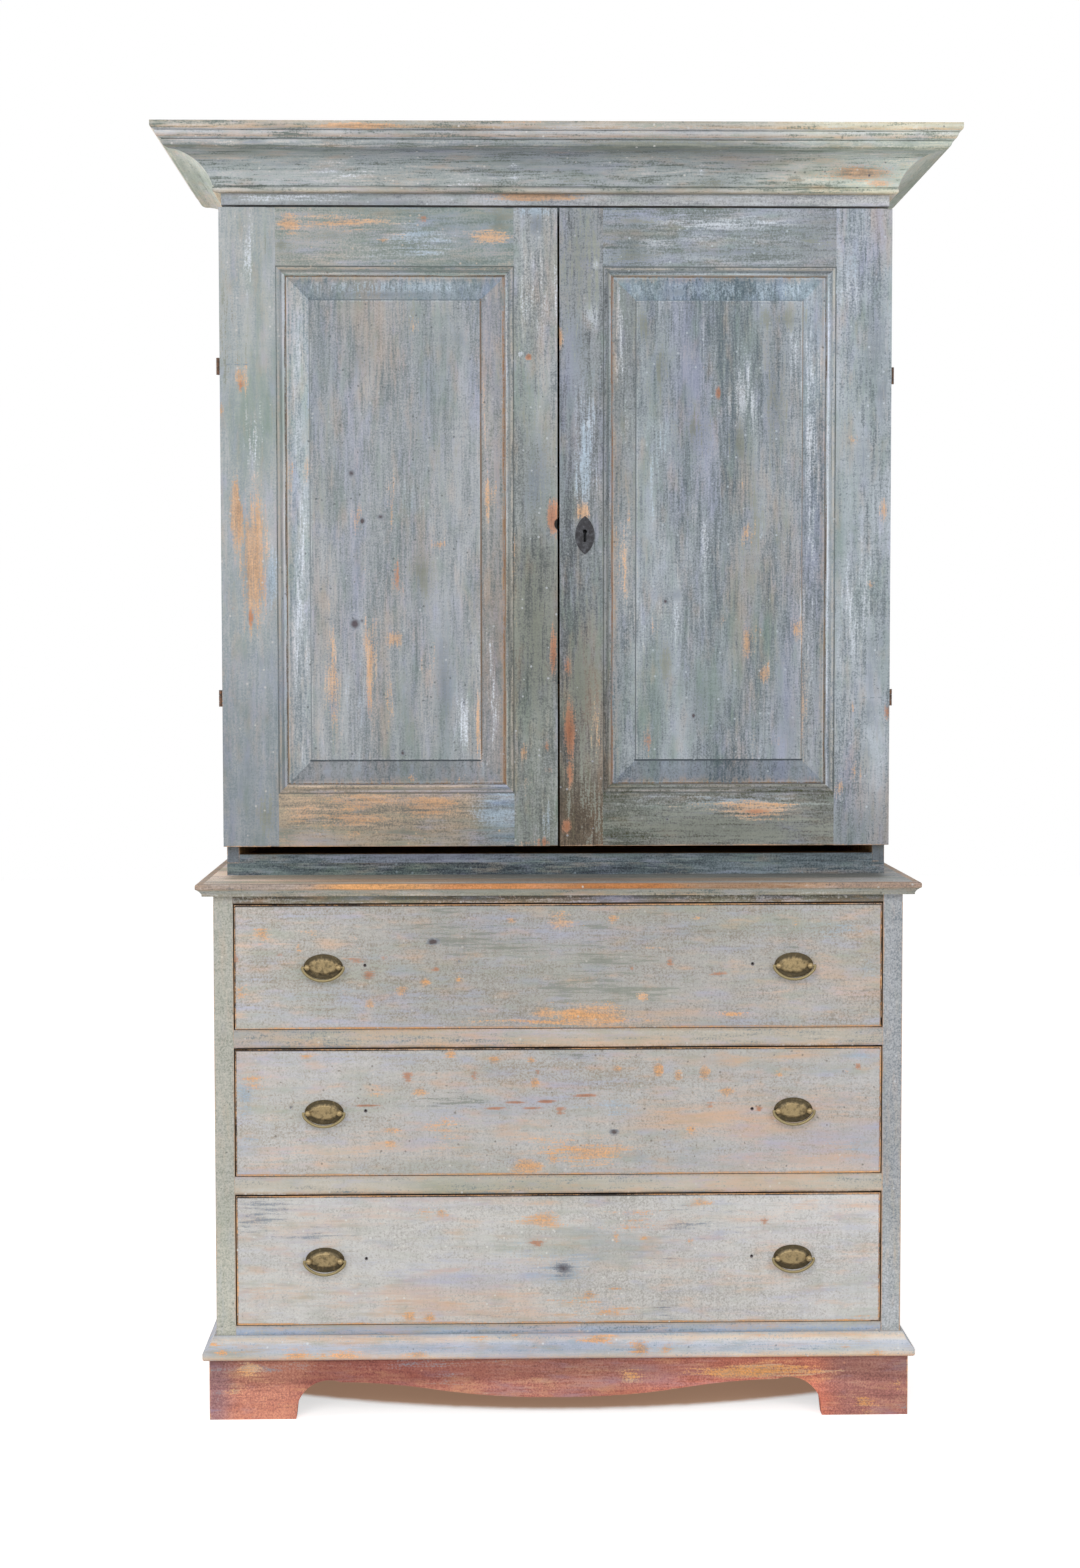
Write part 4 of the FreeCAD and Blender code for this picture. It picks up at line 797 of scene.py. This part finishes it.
# Chest top: a board over the sides, with a moulding planted round its front and ends. The
# top is lighter towards its left end, where a sheen is painted into it, brown along its front
# and dark blue under the doors; the nose of the moulding is rubbed to orange.
TOP_BANDS = [(841, "8e8878"), (844, "9b9688"), (849, "a8aaa2"), (852, "b4a18a"), (853.5, "bf8e60"),
             (858, "c89a6b"), (860, "cba27c"), (861, "c3a892")]
NOSE_TONES = [(-0.6, -0.38, "a09a97"), (-0.38, -0.2, "dfa268"), (-0.2, 0.0, "c47c42"), (0.0, 0.2, "a9642a"),
              (0.2, 0.4, "836a58"), (0.4, 0.6, "a69287")]


def under_doors(place, ragged):
    """Between the case's sides, back under the doors, where the top is darker."""
    x, y, _ = place.parts()
    between = 1 - (x.math("ABSOLUTE") + ragged * 0.02).over(0.52, 0.548)
    return between * (y + ragged * 0.04).over(-0.235, -0.2)


def brown_front_band(place, ragged):
    """A brown band along the front of the top."""
    x, y, _ = place.parts()
    return (y + ragged * 0.03).over(-0.285, -0.262) * (1 - x.math("ABSOLUTE").over(0.3, 0.56)) * 0.8


def rubbed_nose(start, end):
    """A length of the nose, below the top's arris."""
    def where(place, ragged):
        x, y, z = place.parts()
        x = x + ragged * 0.09
        length = x.over(start - 0.05, start + 0.05) * x.over(end + 0.05, end - 0.05)
        return length * (z + ragged * 0.004).over(0.8515, 0.8535) * (1 - (y + 0.3035).over(0.0, 0.002)) * 0.75
    return where


dress("base_top_board", old_paint(
    "chest_top_paint", ("8a9092", "afafae", "c8c6c4"), "x", 51, depth=0.861,
    washes=[(brown_front_band, "94806c"), (under_doors, "80817d")],
    # Painted reflection: the fades lighten the top towards its left end, for its sheen at a grazing angle.
    fades=[("x", -0.05, -0.3, (1.17, 1.1, 1.04)), ("x", -0.3, -0.52, (1.2, 1.17, 1.15))]))
dress("base_top_moulding", old_paint(
    "chest_top_moulding_paint", ("7d7a70", "a8977f", "b8b2a6"), "x", 52, bands=TOP_BANDS, flecks=0.1,
    washes=[(rubbed_nose(start, end), code) for start, end, code in NOSE_TONES],
    hazes=(("cf9a66", 0.5), ("a9aab4", 0.6), ("7f8577", 0.4))))


# Upper case: a shallower box on the chest, flush with it at the back. Sides, bottom, top,
# a sill strip and a front rail, loose shelves in housings, and upright back boards.
CASE_FRONT, CASE_SIDE = -0.1455, 0.54
for side, sign, seed in (("left", -1, 61), ("right", 1, 62)):
    paint = old_paint("case_side_paint_" + side, ("6e787c", "939a9b", "adb0ae"), "z", seed, depth=CASE_FRONT,
                      edges=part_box("upper_side_" + side), edge_wear=0.6,
                      painted=outside_only(sign, CASE_SIDE, CASE_FRONT),
                      slate=[(sign * 530, 880, 30, 34, 1.4), (sign * 530, 866, 30, 20, 1.3)])
    worn_board("upper_side_" + side, "carcase", paint, seed=seed)
waist_blue = ("434d54", "5d6a70", "75828a")
dress("upper_bottom_board", old_paint("case_bottom_paint", waist_blue, "x", 63, depth=CASE_FRONT,
                                      painted=front_only(CASE_FRONT)))
dress("sill_strip", old_paint("sill_paint", waist_blue, "x", 64, painted=front_only(CASE_FRONT)))
dress("upper_front_rail", old_paint("front_rail_paint", ("4a525a", "626d75", "7b868e"), "x", 65,
                                    painted=front_only(CASE_FRONT)))
dress("upper_top_board", lengthwise_pine)
dress("upper_back_boards", bare_pine("case_back_pine", "z", 27, boards=board_row("upper_back_boards")))
dress("shelves", lengthwise_pine)


# Doors: two stiles and two rails each, tenoned together, with a stuck moulding round a
# fielded panel that floats in a groove. Brushed in blue grey, lilac and olive over peach;
# streaks follow the grain, and the meeting edges are rubbed down to the wood.
DOOR_FRONT, DOOR_BACK, PANEL_FRONT = -0.1721, -0.1461, -0.1696
DOOR_BOTTOM, DOOR_TOP, PANEL_BOTTOM, PANEL_TOP = 0.910, 1.940, 1.011, 1.832
DOOR_ENDS = (-0.543, 0.00125, 0.00475, 0.543)
OPENINGS = {"left": (-0.438, -0.08375, PANEL_BOTTOM, PANEL_TOP),
            "right": (0.08975, 0.438, PANEL_BOTTOM, PANEL_TOP)}

# Millimetres from the edge of a panel, to the lines of the moulding round it and of its bevel.
GROOVE, BEAD, QUIRK, LIP, FOOT, ARRIS = -14.3, -11.0, -8.0, -0.6, 0.6, 39.0


def door_edges(x_low, x_high, z_low, z_high):
    """The box whose arrises wear. A side of a piece that is in a joint is given well past it."""
    return (x_low, DOOR_FRONT, z_low), (x_high, DOOR_BACK, z_high)


def moulding_lines(side, bead="b0a89e", lip="5e5650"):
    """The stuck moulding round a panel: dark in its groove and quirk with dirt and painted shade, and rubbed
    along its beads.
    """
    return [(side, GROOVE, 0.9, "666a68", 0.5), (side, BEAD, 1.8, bead, 0.35),
            (side, QUIRK, 0.8, "767874", 0.35), (side, LIP, 1.2, lip, 0.5)]


def field_lines(*tones):
    """Where a panel's bevels meet its field: a dark quirk, rubbed pale beside it; and the line where
    each bevel goes into the moulding, dark with dirt and painted shade, brown where it is rubbed."""
    lines = []
    for side, quirk, width, strength, foot, foot_width in tones:
        lines += [(side, ARRIS + 1.6, 0.9, "b9bfc2", 0.25), (side, ARRIS, width, quirk, strength),
                  (side, FOOT + foot_width / 4, foot_width, foot, 0.55)]
    return lines


def on_outline(place):
    """On the outside of its door, not in a joint."""
    across = min(abs(place.x - edge) for edge in DOOR_ENDS)
    return across < 0.001 or place.z < DOOR_BOTTOM + 0.001 or place.z > DOOR_TOP - 0.001


def door_piece(node, shades, run, seed, edges, depth=DOOR_FRONT, **looks):
    """A stile or rail, painted round the edges that its box gives, or a panel, without such edges."""
    side = node[:node.index("_door")]
    low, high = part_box(node)
    lap = high.y - DOOR_FRONT - (0.004 if edges else 0.002)
    # Each door piece is painted lighter in the corner round its panel, against the shade there.
    paint = old_paint(node + "_paint", shades, run, seed, depth=depth, edges=edges, opening=OPENINGS[side],
                      painted=front_only(DOOR_FRONT, lap), painted_corner_light=1.3, **looks)
    if edges:
        worn_board(node, side + "_door", paint,
                   round_over=0.0011, seed=seed, handled=on_outline)
    else:
        dress(node, paint)


door_piece(
    "left_door_hinge_stile", ("949c9f", "a4a9ab", "b5b6b6"), "z", 71,
    door_edges(-0.6, -0.4, DOOR_BOTTOM, 2.2), edge_wear=0.7,
    fades=[("z", 1.32, 1.02, (0.85, 0.87, 0.89))], lines=moulding_lines("left", lip="6e6660"),
    bare=[(-517, 1448, 15, 72, 1.0), (-493, 1369, 26, 123, 1.0), (-525, 1297, 6, 6, 0.7),
          (-510, 1664, 11, 26, 0.7), (-541, 1615, 6, 23, 0.7), (-544, 1149, 4, 97, 0.5)],
    rust=[(-509, 1656, 6, 11, 0.7), (-496, 1282, 9, 16, 0.8)],
    sky=[(-462, 1341, 11, 56, 1.1)],
    slate=[(-495, 1201, 39, 52, 0.4), (-498, 1147, 23, 18, 0.4), (-501, 1031, 15, 45, 0.5),
           (-528, 986, 12, 65, 0.3)],
    olive=[(-530, 1712, 17, 128, 0.4), (-462, 1877, 11, 24, 0.5), (-471, 963, 20, 32, 0.5)],
    pale=[(-499, 1870, 26, 62, 0.4), (-490, 1568, 21, 48, 0.4), (-491, 1197, 13, 32, 0.3)])
door_piece(
    "left_door_meeting_stile", ("767c80", "92989b", "a8adb1"), "z", 72,
    door_edges(-0.12, 0.05, DOOR_BOTTOM, 2.2), edge_wear=0.7, gap=DOOR_FRONT,
    lines=moulding_lines("right", lip="8f6f59"),
    fades=[("z", 1.7, 1.5, (0.93, 0.93, 0.91)), ("z", 1.45, 1.35, (0.89, 0.88, 0.85)),
           ("z", 1.2, 1.1, (1.13, 1.14, 1.14))],
    sky=[(-35, 1934, 38, 9, 0.9), (-15, 949, 16, 39, 0.6)],
    slate=[(-33, 1913, 18, 21, 0.8), (-34, 1496, 26, 79, 0.8)],
    olive=[(-39, 1261, 41, 185, 0.85), (-44, 1213, 26, 104, 0.6), (-58, 1552, 15, 113, 0.4)],
    rust=[(-45, 1702, 6, 6, 1.1), (-5, 1221, 7, 47, 1.0), (-17, 1071, 11, 18, 0.7), (-13, 1034, 8, 11, 0.6),
          (-8, 1444, 10, 31, 1.1), (-21, 916, 13, 10, 0.8)],
    bare=[(-55, 1061, 8, 19, 0.9), (-69, 1389, 5, 89, 0.5), (-52, 1014, 18, 33, 0.4), (-49, 914, 18, 7, 0.6)],
    pale=[(-35, 1794, 34, 59, 0.4), (-58, 1706, 6, 7, 0.9)])
door_piece(
    "left_door_top_rail", ("828a86", "969c99", "aca79e"), "x", 73,
    door_edges(-0.6, 0.1, PANEL_TOP - 0.1, 2.2), fades=[("x", -0.38, -0.15, (0.92, 0.95, 0.96))],
    lines=moulding_lines("top", bead="b3a393", lip="7a685a"),
    bare=[(-430, 1913, 21, 22, 0.8), (-342, 1917, 93, 17, 0.56), (-308, 1903, 56, 9, 0.4),
          (-279, 1887, 10, 6, 0.72), (-106, 1893, 37, 14, 0.8)],
    rust=[(-214, 1923, 12, 8, 0.72)],
    olive=[(-93, 1917, 24, 25, 0.85), (-443, 1881, 14, 13, 0.5), (-432, 1867, 19, 14, 0.4),
           (-358, 1895, 61, 9, 0.5), (-295, 1935, 149, 7, 0.5)],
    sky=[(-233, 1877, 64, 24, 0.8), (-222, 1899, 38, 21, 0.7), (-284, 1867, 64, 18, 0.5)])
door_piece(
    "left_door_bottom_rail", ("8a8174", "ad9c88", "bda88e"), "x", 74,
    door_edges(-0.6, 0.1, DOOR_BOTTOM, PANEL_BOTTOM + 0.1), edge_wear=0.6,
    fades=[("x", -0.16, -0.1, (0.88, 0.98, 1.1))],
    lines=moulding_lines("bottom", bead="a9a5aa", lip="77757a"),
    bare=[(-409, 962, 42, 35, 0.63), (-311, 982, 127, 22, 0.63), (-336, 956, 86, 25, 0.77),
          (-214, 973, 78, 24, 0.84), (-329, 933, 28, 16, 0.49)],
    sky=[(-104, 966, 51, 26, 0.9)],
    olive=[(-445, 936, 29, 21, 0.7), (-246, 933, 94, 10, 0.8), (-142, 936, 55, 11, 0.5)])
door_piece(
    "left_door_panel", ("7a8286", "93989c", "a5a9ad"), "z", 75, None, PANEL_FRONT,
    # Painted light and shade on the bevels: the left one lighter, as lit from the left, the others darker.
    slopes=[("left", (1.16, 1.18, 1.19), (1.05, 1.06, 1.07)),
            ("right", (1.03, 1.0, 0.95), (0.91, 0.89, 0.88)),
            ("bottom", (0.9, 0.9, 0.91), (0.9, 0.9, 0.91)), ("top", (0.9, 0.95, 0.98), (0.9, 0.95, 0.98))],
    lines=field_lines(
        ("left", "7b8184", 0.9, 0.45, "6b6762", 1.1), ("right", "7a6350", 1.4, 0.7, "8a6e5a", 2.8),
        ("bottom", "4a5157", 1.5, 0.8, "5f5f5f", 1.4), ("top", "5f6c76", 0.9, 0.6, "8b857e", 0.9)),
    # The tall pale mark over the left bevel is painted light, on the side lit from the left.
    pale=[(-424, 1425, 18, 406, 0.5), (-106, 1148, 20, 130, 0.25), (-151, 1116, 20, 49, 0.4)],
    sky=[(-273, 1815, 156, 18, 0.7), (-317, 1155, 16, 104, 0.5), (-234, 1464, 28, 89, 0.4),
         (-354, 1572, 12, 68, 0.2)],
    slate=[(-270, 1802, 124, 7, 0.7), (-321, 1700, 23, 32, 0.5), (-183, 1726, 8, 38, 0.6),
           (-159, 1731, 13, 21, 0.6), (-169, 1694, 13, 16, 0.5), (-184, 1164, 16, 101, 0.85),
           (-264, 1030, 161, 18, 0.5), (-96, 1399, 9, 121, 0.5), (-237, 1124, 15, 60, 0.4)],
    olive=[(-240, 1755, 23, 45, 0.4), (-222, 1356, 19, 55, 0.8), (-219, 1594, 34, 77, 0.3),
           (-390, 1617, 24, 48, 0.3)],
    bare=[(-230, 1751, 13, 16, 0.42), (-364, 1170, 13, 106, 0.59), (-323, 1440, 10, 35, 0.51),
          (-300, 1210, 15, 140, 0.59), (-268, 1457, 9, 69, 0.42), (-263, 1247, 18, 18, 0.77),
          (-275, 1150, 13, 70, 0.42), (-191, 1400, 16, 10, 0.59), (-403, 1520, 14, 29, 0.42),
          (-211, 1197, 16, 55, 0.34), (-430, 1514, 11, 45, 0.51), (-108, 1472, 11, 39, 0.59),
          (-116, 1657, 10, 143, 0.34), (-235, 1019, 11, 9, 0.59), (-160, 1019, 15, 9, 0.42),
          (-128, 1104, 6, 60, 0.59)],
    rust=[(-259, 1348, 13, 40, 0.59), (-359, 1491, 11, 10, 0.51), (-306, 1126, 5, 46, 0.42)],
    ink=[(-332, 1515, 8, 8, 0.9), (-315, 1438, 5, 6, 1.2), (-285, 1445, 8, 6, 0.9), (-328, 1272, 9, 10, 1.2),
         (-316, 1277, 4, 4, 0.8), (-251, 1062, 6, 6, 1.0)])
door_piece(
    "right_door_hinge_stile", ("7d868c", "9da5ac", "b0b8c0"), "z", 76,
    door_edges(0.4, 0.6, DOOR_BOTTOM, 2.2), edge_wear=0.7, blotches=1.7,
    lines=moulding_lines("right", bead="b4b0a6", lip="6b5f56"),
    fades=[("z", 1.6, 1.75, (1.05, 1.045, 1.055)), ("z", 1.1, 0.98, (0.95, 0.94, 0.94))],
    sky=[(479, 1864, 31, 77, 0.5)],
    pale=[(476, 1812, 21, 41, 0.7), (497, 1277, 33, 104, 0.5), (466, 985, 7, 8, 0.9)],
    slate=[(519, 1722, 21, 95, 0.6), (529, 1649, 15, 103, 0.5), (501, 1545, 28, 47, 0.4),
           (507, 1122, 24, 30, 0.6), (517, 1220, 26, 80, 0.5), (503, 1069, 15, 16, 0.5),
           (502, 946, 43, 41, 0.5)],
    bare=[(479, 1568, 8, 12, 0.6), (485, 1033, 17, 39, 0.5), (466, 1004, 16, 16, 0.5),
          (513, 1334, 8, 11, 0.6), (532, 1456, 8, 23, 0.5), (481, 1137, 9, 13, 0.5)],
    rust=[(540, 1129, 7, 21, 0.9)])
door_piece(
    "right_door_meeting_stile", ("656a6e", "80868a", "969a9f"), "z", 77,
    door_edges(-0.05, 0.12, DOOR_BOTTOM, 2.2), edge_wear=0.7, gap=DOOR_FRONT,
    lines=moulding_lines("left", bead="9a9c9e", lip="97745f"),
    fades=[("z", 1.78, 1.6, (0.95, 0.955, 0.95)), ("z", 1.35, 1.0, (0.98, 0.92, 0.85)),
           ("z", 1.08, 0.96, (0.82, 0.74, 0.67))],
    olive=[(39, 1862, 40, 75, 0.4), (39, 1164, 41, 153, 0.85), (39, 980, 41, 77, 0.5)],
    slate=[(38, 1729, 36, 70, 0.5)],
    pale=[(56, 1766, 18, 24, 0.6), (63, 1850, 6, 10, 0.9), (51, 1595, 7, 9, 0.8)],
    sky=[(46, 1544, 19, 95, 0.6)],
    bare=[(5, 1729, 6, 22, 1.0), (42, 1453, 15, 15, 0.8), (62, 1115, 11, 55, 0.35), (70, 1080, 5, 14, 0.6)],
    rust=[(17, 1200, 9, 26, 0.9), (20, 1097, 13, 57, 1.3), (21, 1032, 10, 31, 0.8), (16, 942, 11, 13, 1.0)],
    ink=[(17, 1049, 3, 4, 1.0)])
door_piece(
    "right_door_top_rail", ("7c8486", "979ea5", "aab3b9"), "x", 78,
    door_edges(-0.1, 0.6, PANEL_TOP - 0.1, 2.2), blotches=1.3,
    lines=moulding_lines("top", bead="b9b0a4", lip="a38e7a"),
    fades=[("x", 0.16, 0.1, (0.94, 0.95, 0.96)), ("x", 0.34, 0.43, (0.93, 0.92, 0.92))],
    olive=[(122, 1875, 52, 65, 0.65), (413, 1884, 36, 30, 0.4)],
    pale=[(259, 1907, 137, 21, 0.6), (148, 1885, 42, 15, 0.7)],
    slate=[(290, 1871, 158, 9, 0.6), (309, 1902, 136, 8, 0.5)])
door_piece(
    "right_door_bottom_rail", ("5b5d53", "767977", "898c88"), "x", 79,
    door_edges(-0.1, 0.6, DOOR_BOTTOM, PANEL_BOTTOM + 0.1), edge_wear=0.6,
    fades=[("x", 0.2, 0.1, (0.86, 0.87, 0.84)), ("x", 0.38, 0.44, (0.95, 0.95, 0.94))],
    lines=moulding_lines("bottom", bead="a09c98", lip="6c6a6a"),
    olive=[(265, 937, 201, 38, 0.85)],
    sky=[(289, 980, 160, 17, 0.5)],
    bare=[(324, 968, 64, 16, 0.8), (193, 980, 47, 8, 0.3)],
    rust=[(324, 964, 28, 8, 0.7)],
    ink=[(180, 953, 3, 3, 1.0)])
door_piece(
    "right_door_panel", ("717a80", "8f969c", "a3abb2"), "z", 80, None, PANEL_FRONT, blotches=1.3,
    # Painted light and shade on the bevels: the left, top and bottom ones darker, the right one as the field.
    slopes=[("left", (0.89, 0.88, 0.86), (1.0, 1.0, 0.99)),
            ("right", (0.98, 1.0, 1.02), (0.98, 0.97, 0.96)),
            ("bottom", (0.83, 0.85, 0.87), (0.83, 0.85, 0.87)),
            ("top", (0.88, 0.94, 0.97), (0.88, 0.94, 0.97))],
    lines=field_lines(
        ("left", "6e7478", 0.9, 0.6, "94786a", 1.6), ("right", "8c8078", 1.0, 0.6, "5f6466", 1.2),
        ("bottom", "464e55", 1.5, 0.8, "5f5f5f", 1.4), ("top", "74838f", 0.9, 0.6, "8b857e", 0.9)),
    sky=[(261, 1811, 172, 18, 0.8), (162, 1561, 19, 72, 0.4)],
    slate=[(185, 1807, 53, 9, 0.6), (188, 1318, 32, 11, 0.5), (237, 1143, 32, 67, 0.5),
           (381, 1098, 20, 56, 0.5), (262, 1027, 159, 16, 0.8), (104, 1164, 16, 88, 0.5),
           (245, 1760, 13, 18, 0.4)],
    olive=[(144, 1751, 19, 34, 0.7), (362, 1762, 36, 19, 0.6), (355, 1633, 20, 119, 0.7),
           (167, 1681, 19, 55, 0.7), (224, 1588, 28, 58, 0.7), (293, 1561, 24, 47, 0.7),
           (151, 1643, 19, 29, 0.4), (314, 1423, 20, 120, 0.4), (358, 1409, 24, 37, 0.4),
           (176, 1205, 11, 47, 0.6)],
    # The tall pale marks over the right bevel are painted light, on the side lit from the right.
    pale=[(308, 1641, 33, 95, 0.5), (246, 1399, 16, 47, 0.6), (386, 1698, 11, 71, 0.5),
          (232, 1746, 36, 38, 0.4), (415, 1551, 15, 89, 0.7), (416, 1471, 15, 323, 0.5),
          (192, 1278, 44, 39, 0.3), (107, 1697, 18, 96, 0.3)],
    bare=[(231, 1685, 18, 26, 0.26), (304, 1491, 13, 26, 0.42), (308, 1420, 13, 26, 0.59),
          (312, 1242, 12, 36, 0.85), (329, 1261, 22, 11, 0.42), (390, 1263, 16, 21, 0.59),
          (336, 1191, 15, 21, 0.77), (403, 1147, 8, 104, 0.51), (158, 1257, 10, 35, 0.34),
          (272, 1278, 8, 11, 0.42), (352, 1079, 16, 16, 0.34), (319, 1098, 16, 56, 0.26),
          (106, 1378, 18, 100, 0.34)],
    rust=[(263, 1645, 6, 14, 0.85), (149, 1082, 12, 29, 0.59)],
    ink=[(177, 1308, 5, 5, 1.1), (223, 1122, 4, 5, 1.2), (286, 1590, 5, 5, 0.6)])


# Ironwork: strap leaves with rolled knuckles, nailed through and clinched, a rim lock with its
# bolt, an oval escutcheon, and a slide bolt with its plate. Forged iron, brown with rust.
def old_iron(name, tones, seed, painted_over=None):
    """Rusty iron. painted_over is the tone of the paint on what shows at the front of a door."""
    material, shader, place = new_material(name)
    at = place.vector("ADD", (seed, 0, seed * 2))
    rust = at.cloud((140, 140, 140), 4.0, 0.65)
    pits = at.cloud((800, 800, 800), 2.0, 0.6)
    stops = [(share, pigment(code)) for share, code in zip((0.1, 0.5, 0.9), tones)]
    colour = (rust * 2.4 + pits + 0.5).ramp(stops)
    metal = 0.35 + rust * 0.6
    if painted_over:
        x, y, _ = place.parts()
        paint = (1 - (y - DOOR_FRONT).over(0.0008, 0.0016)) * (1 - x.math("ABSOLUTE").over(0.535, 0.537))
        tone = (rust + pits).over(-0.2, 0.3).blend(pigment("858f96"), pigment(painted_over))
        colour = paint.blend(colour, tone)
        metal = metal * (1 - paint)
    finish_with(shader, material.node_tree, Base_Color=colour, Metallic=metal, Roughness=0.6 + pits * 0.4,
                Normal=(pits + rust).bump(0.6, 0.0005))
    return material


hinge_iron = old_iron("hinge_iron_rust", ("3b302a", "5f4a3c", "8a6248"), 91, painted_over="a2aab0")
lock_iron = old_iron("lock_iron_dark", ("1d1c20", "313135", "525358"), 92)
for node in ("case_hinge_leaves", "left_door_hinge_leaves", "right_door_hinge_leaves"):
    dress(node, hinge_iron)
for node in ("left_door_bolt_plate", "left_door_bolt", "lock_case", "lock_bolt", "escutcheon"):
    dress(node, lock_iron)


# Cornice: a deep cove moulding with beads, planed in one length and mitred at the corners,
# leaning out over a frieze board and held from behind by glued blocks. Grey blue in the cove,
# peach along the fillets where it was dusted for years.
CORNICE_SHADES = ("8a918f", "a8aeae", "bfc0be")
# The dark band at 2024 mm, in the recess under a fillet, is painted shade.
CORNICE_BANDS = [(1964, "b4a592"), (1968, "c6c3ba"), (1973, "aab0ae"), (1976, "a9b0b0"), (1990, "abb3b4"),
                 (2010, "a9b2b5"), (2021, "a3abac"), (2024, "72796f"), (2026, "939a9c"), (2032, "a4aaad"),
                 (2036, "a7aeb2"), (2037, "bca696"), (2043, "bdc0c4"), (2048, "b9bbbe"), (2049, "c6ab90"),
                 (2055, "bab9b2"), (2060, "bbae9c")]
FRIEZE_FRONT = -0.1585
dress("cornice_front", old_paint(
    "cornice_paint", CORNICE_SHADES, "x", 95, depth=None, bands=CORNICE_BANDS, flecks=0.05, streaks=1.9,
    blotches=0.6, hazes=(("bf9d80", 0.5), ("a2a6c0", 0.45), ("6f7f70", 0.5)),
    fades=[("x", -0.45, -0.2, (0.94, 0.94, 0.94)), ("x", 0.25, 0.5, (1.23, 1.23, 1.17))],
    bare=[(-309, 2052, 99, 5, 1.0), (-91, 2058, 94, 3, 0.5), (486, 1995, 69, 13, 1.0),
          (522, 1980, 21, 7, 0.7), (342, 1979, 52, 8, 0.4)],
    olive=[(152, 2026, 179, 11, 0.8), (254, 1980, 45, 12, 0.7), (385, 1985, 13, 9, 0.6),
           (224, 2065, 95, 9, 0.4), (27, 1984, 42, 13, 0.5)],
    slate=[(-480, 2032, 24, 8, 0.6), (-471, 1988, 62, 11, 0.3)],
    pale=[(-68, 1991, 10, 22, 0.7), (233, 1998, 8, 16, 0.5), (-346, 1996, 64, 13, 0.4),
          (-139, 1979, 48, 10, 0.4)],
    ink=[(504, 1992, 3, 3, 1.1)]))
dress("cornice_returns", old_paint(
    "cornice_return_paint", CORNICE_SHADES, "y", 96, bands=CORNICE_BANDS, flecks=0.05,
    # Painted light: the fades make both returns lighter than the front, as lit by the lamps at the sides.
    fades=[("x", 0.0, -0.5, (1.34, 1.31, 1.24)), ("x", 0.0, 0.5, (1.26, 1.24, 1.17))]))
frieze_paint = old_paint(
    "frieze_paint", ("94979c", "b1b4b6", "c3c7cb"), "x", 97, depth=FRIEZE_FRONT,
    fades=[("x", -0.12, -0.3, (0.84, 0.86, 0.87)), ("x", -0.36, -0.48, (1.06, 1.06, 1.06)),
           ("x", 0.3, 0.5, (1.1, 1.1, 1.1))],
    bare=[(-29, 1961, 74, 10, 1.2)],
    olive=[(152, 1955, 81, 6, 0.4)],
    pale=[(-445, 1959, 80, 5, 0.4), (314, 1962, 81, 6, 0.4)])
worn_board("frieze_board", "carcase", frieze_paint)
dress("cornice_blocks", block_pine)
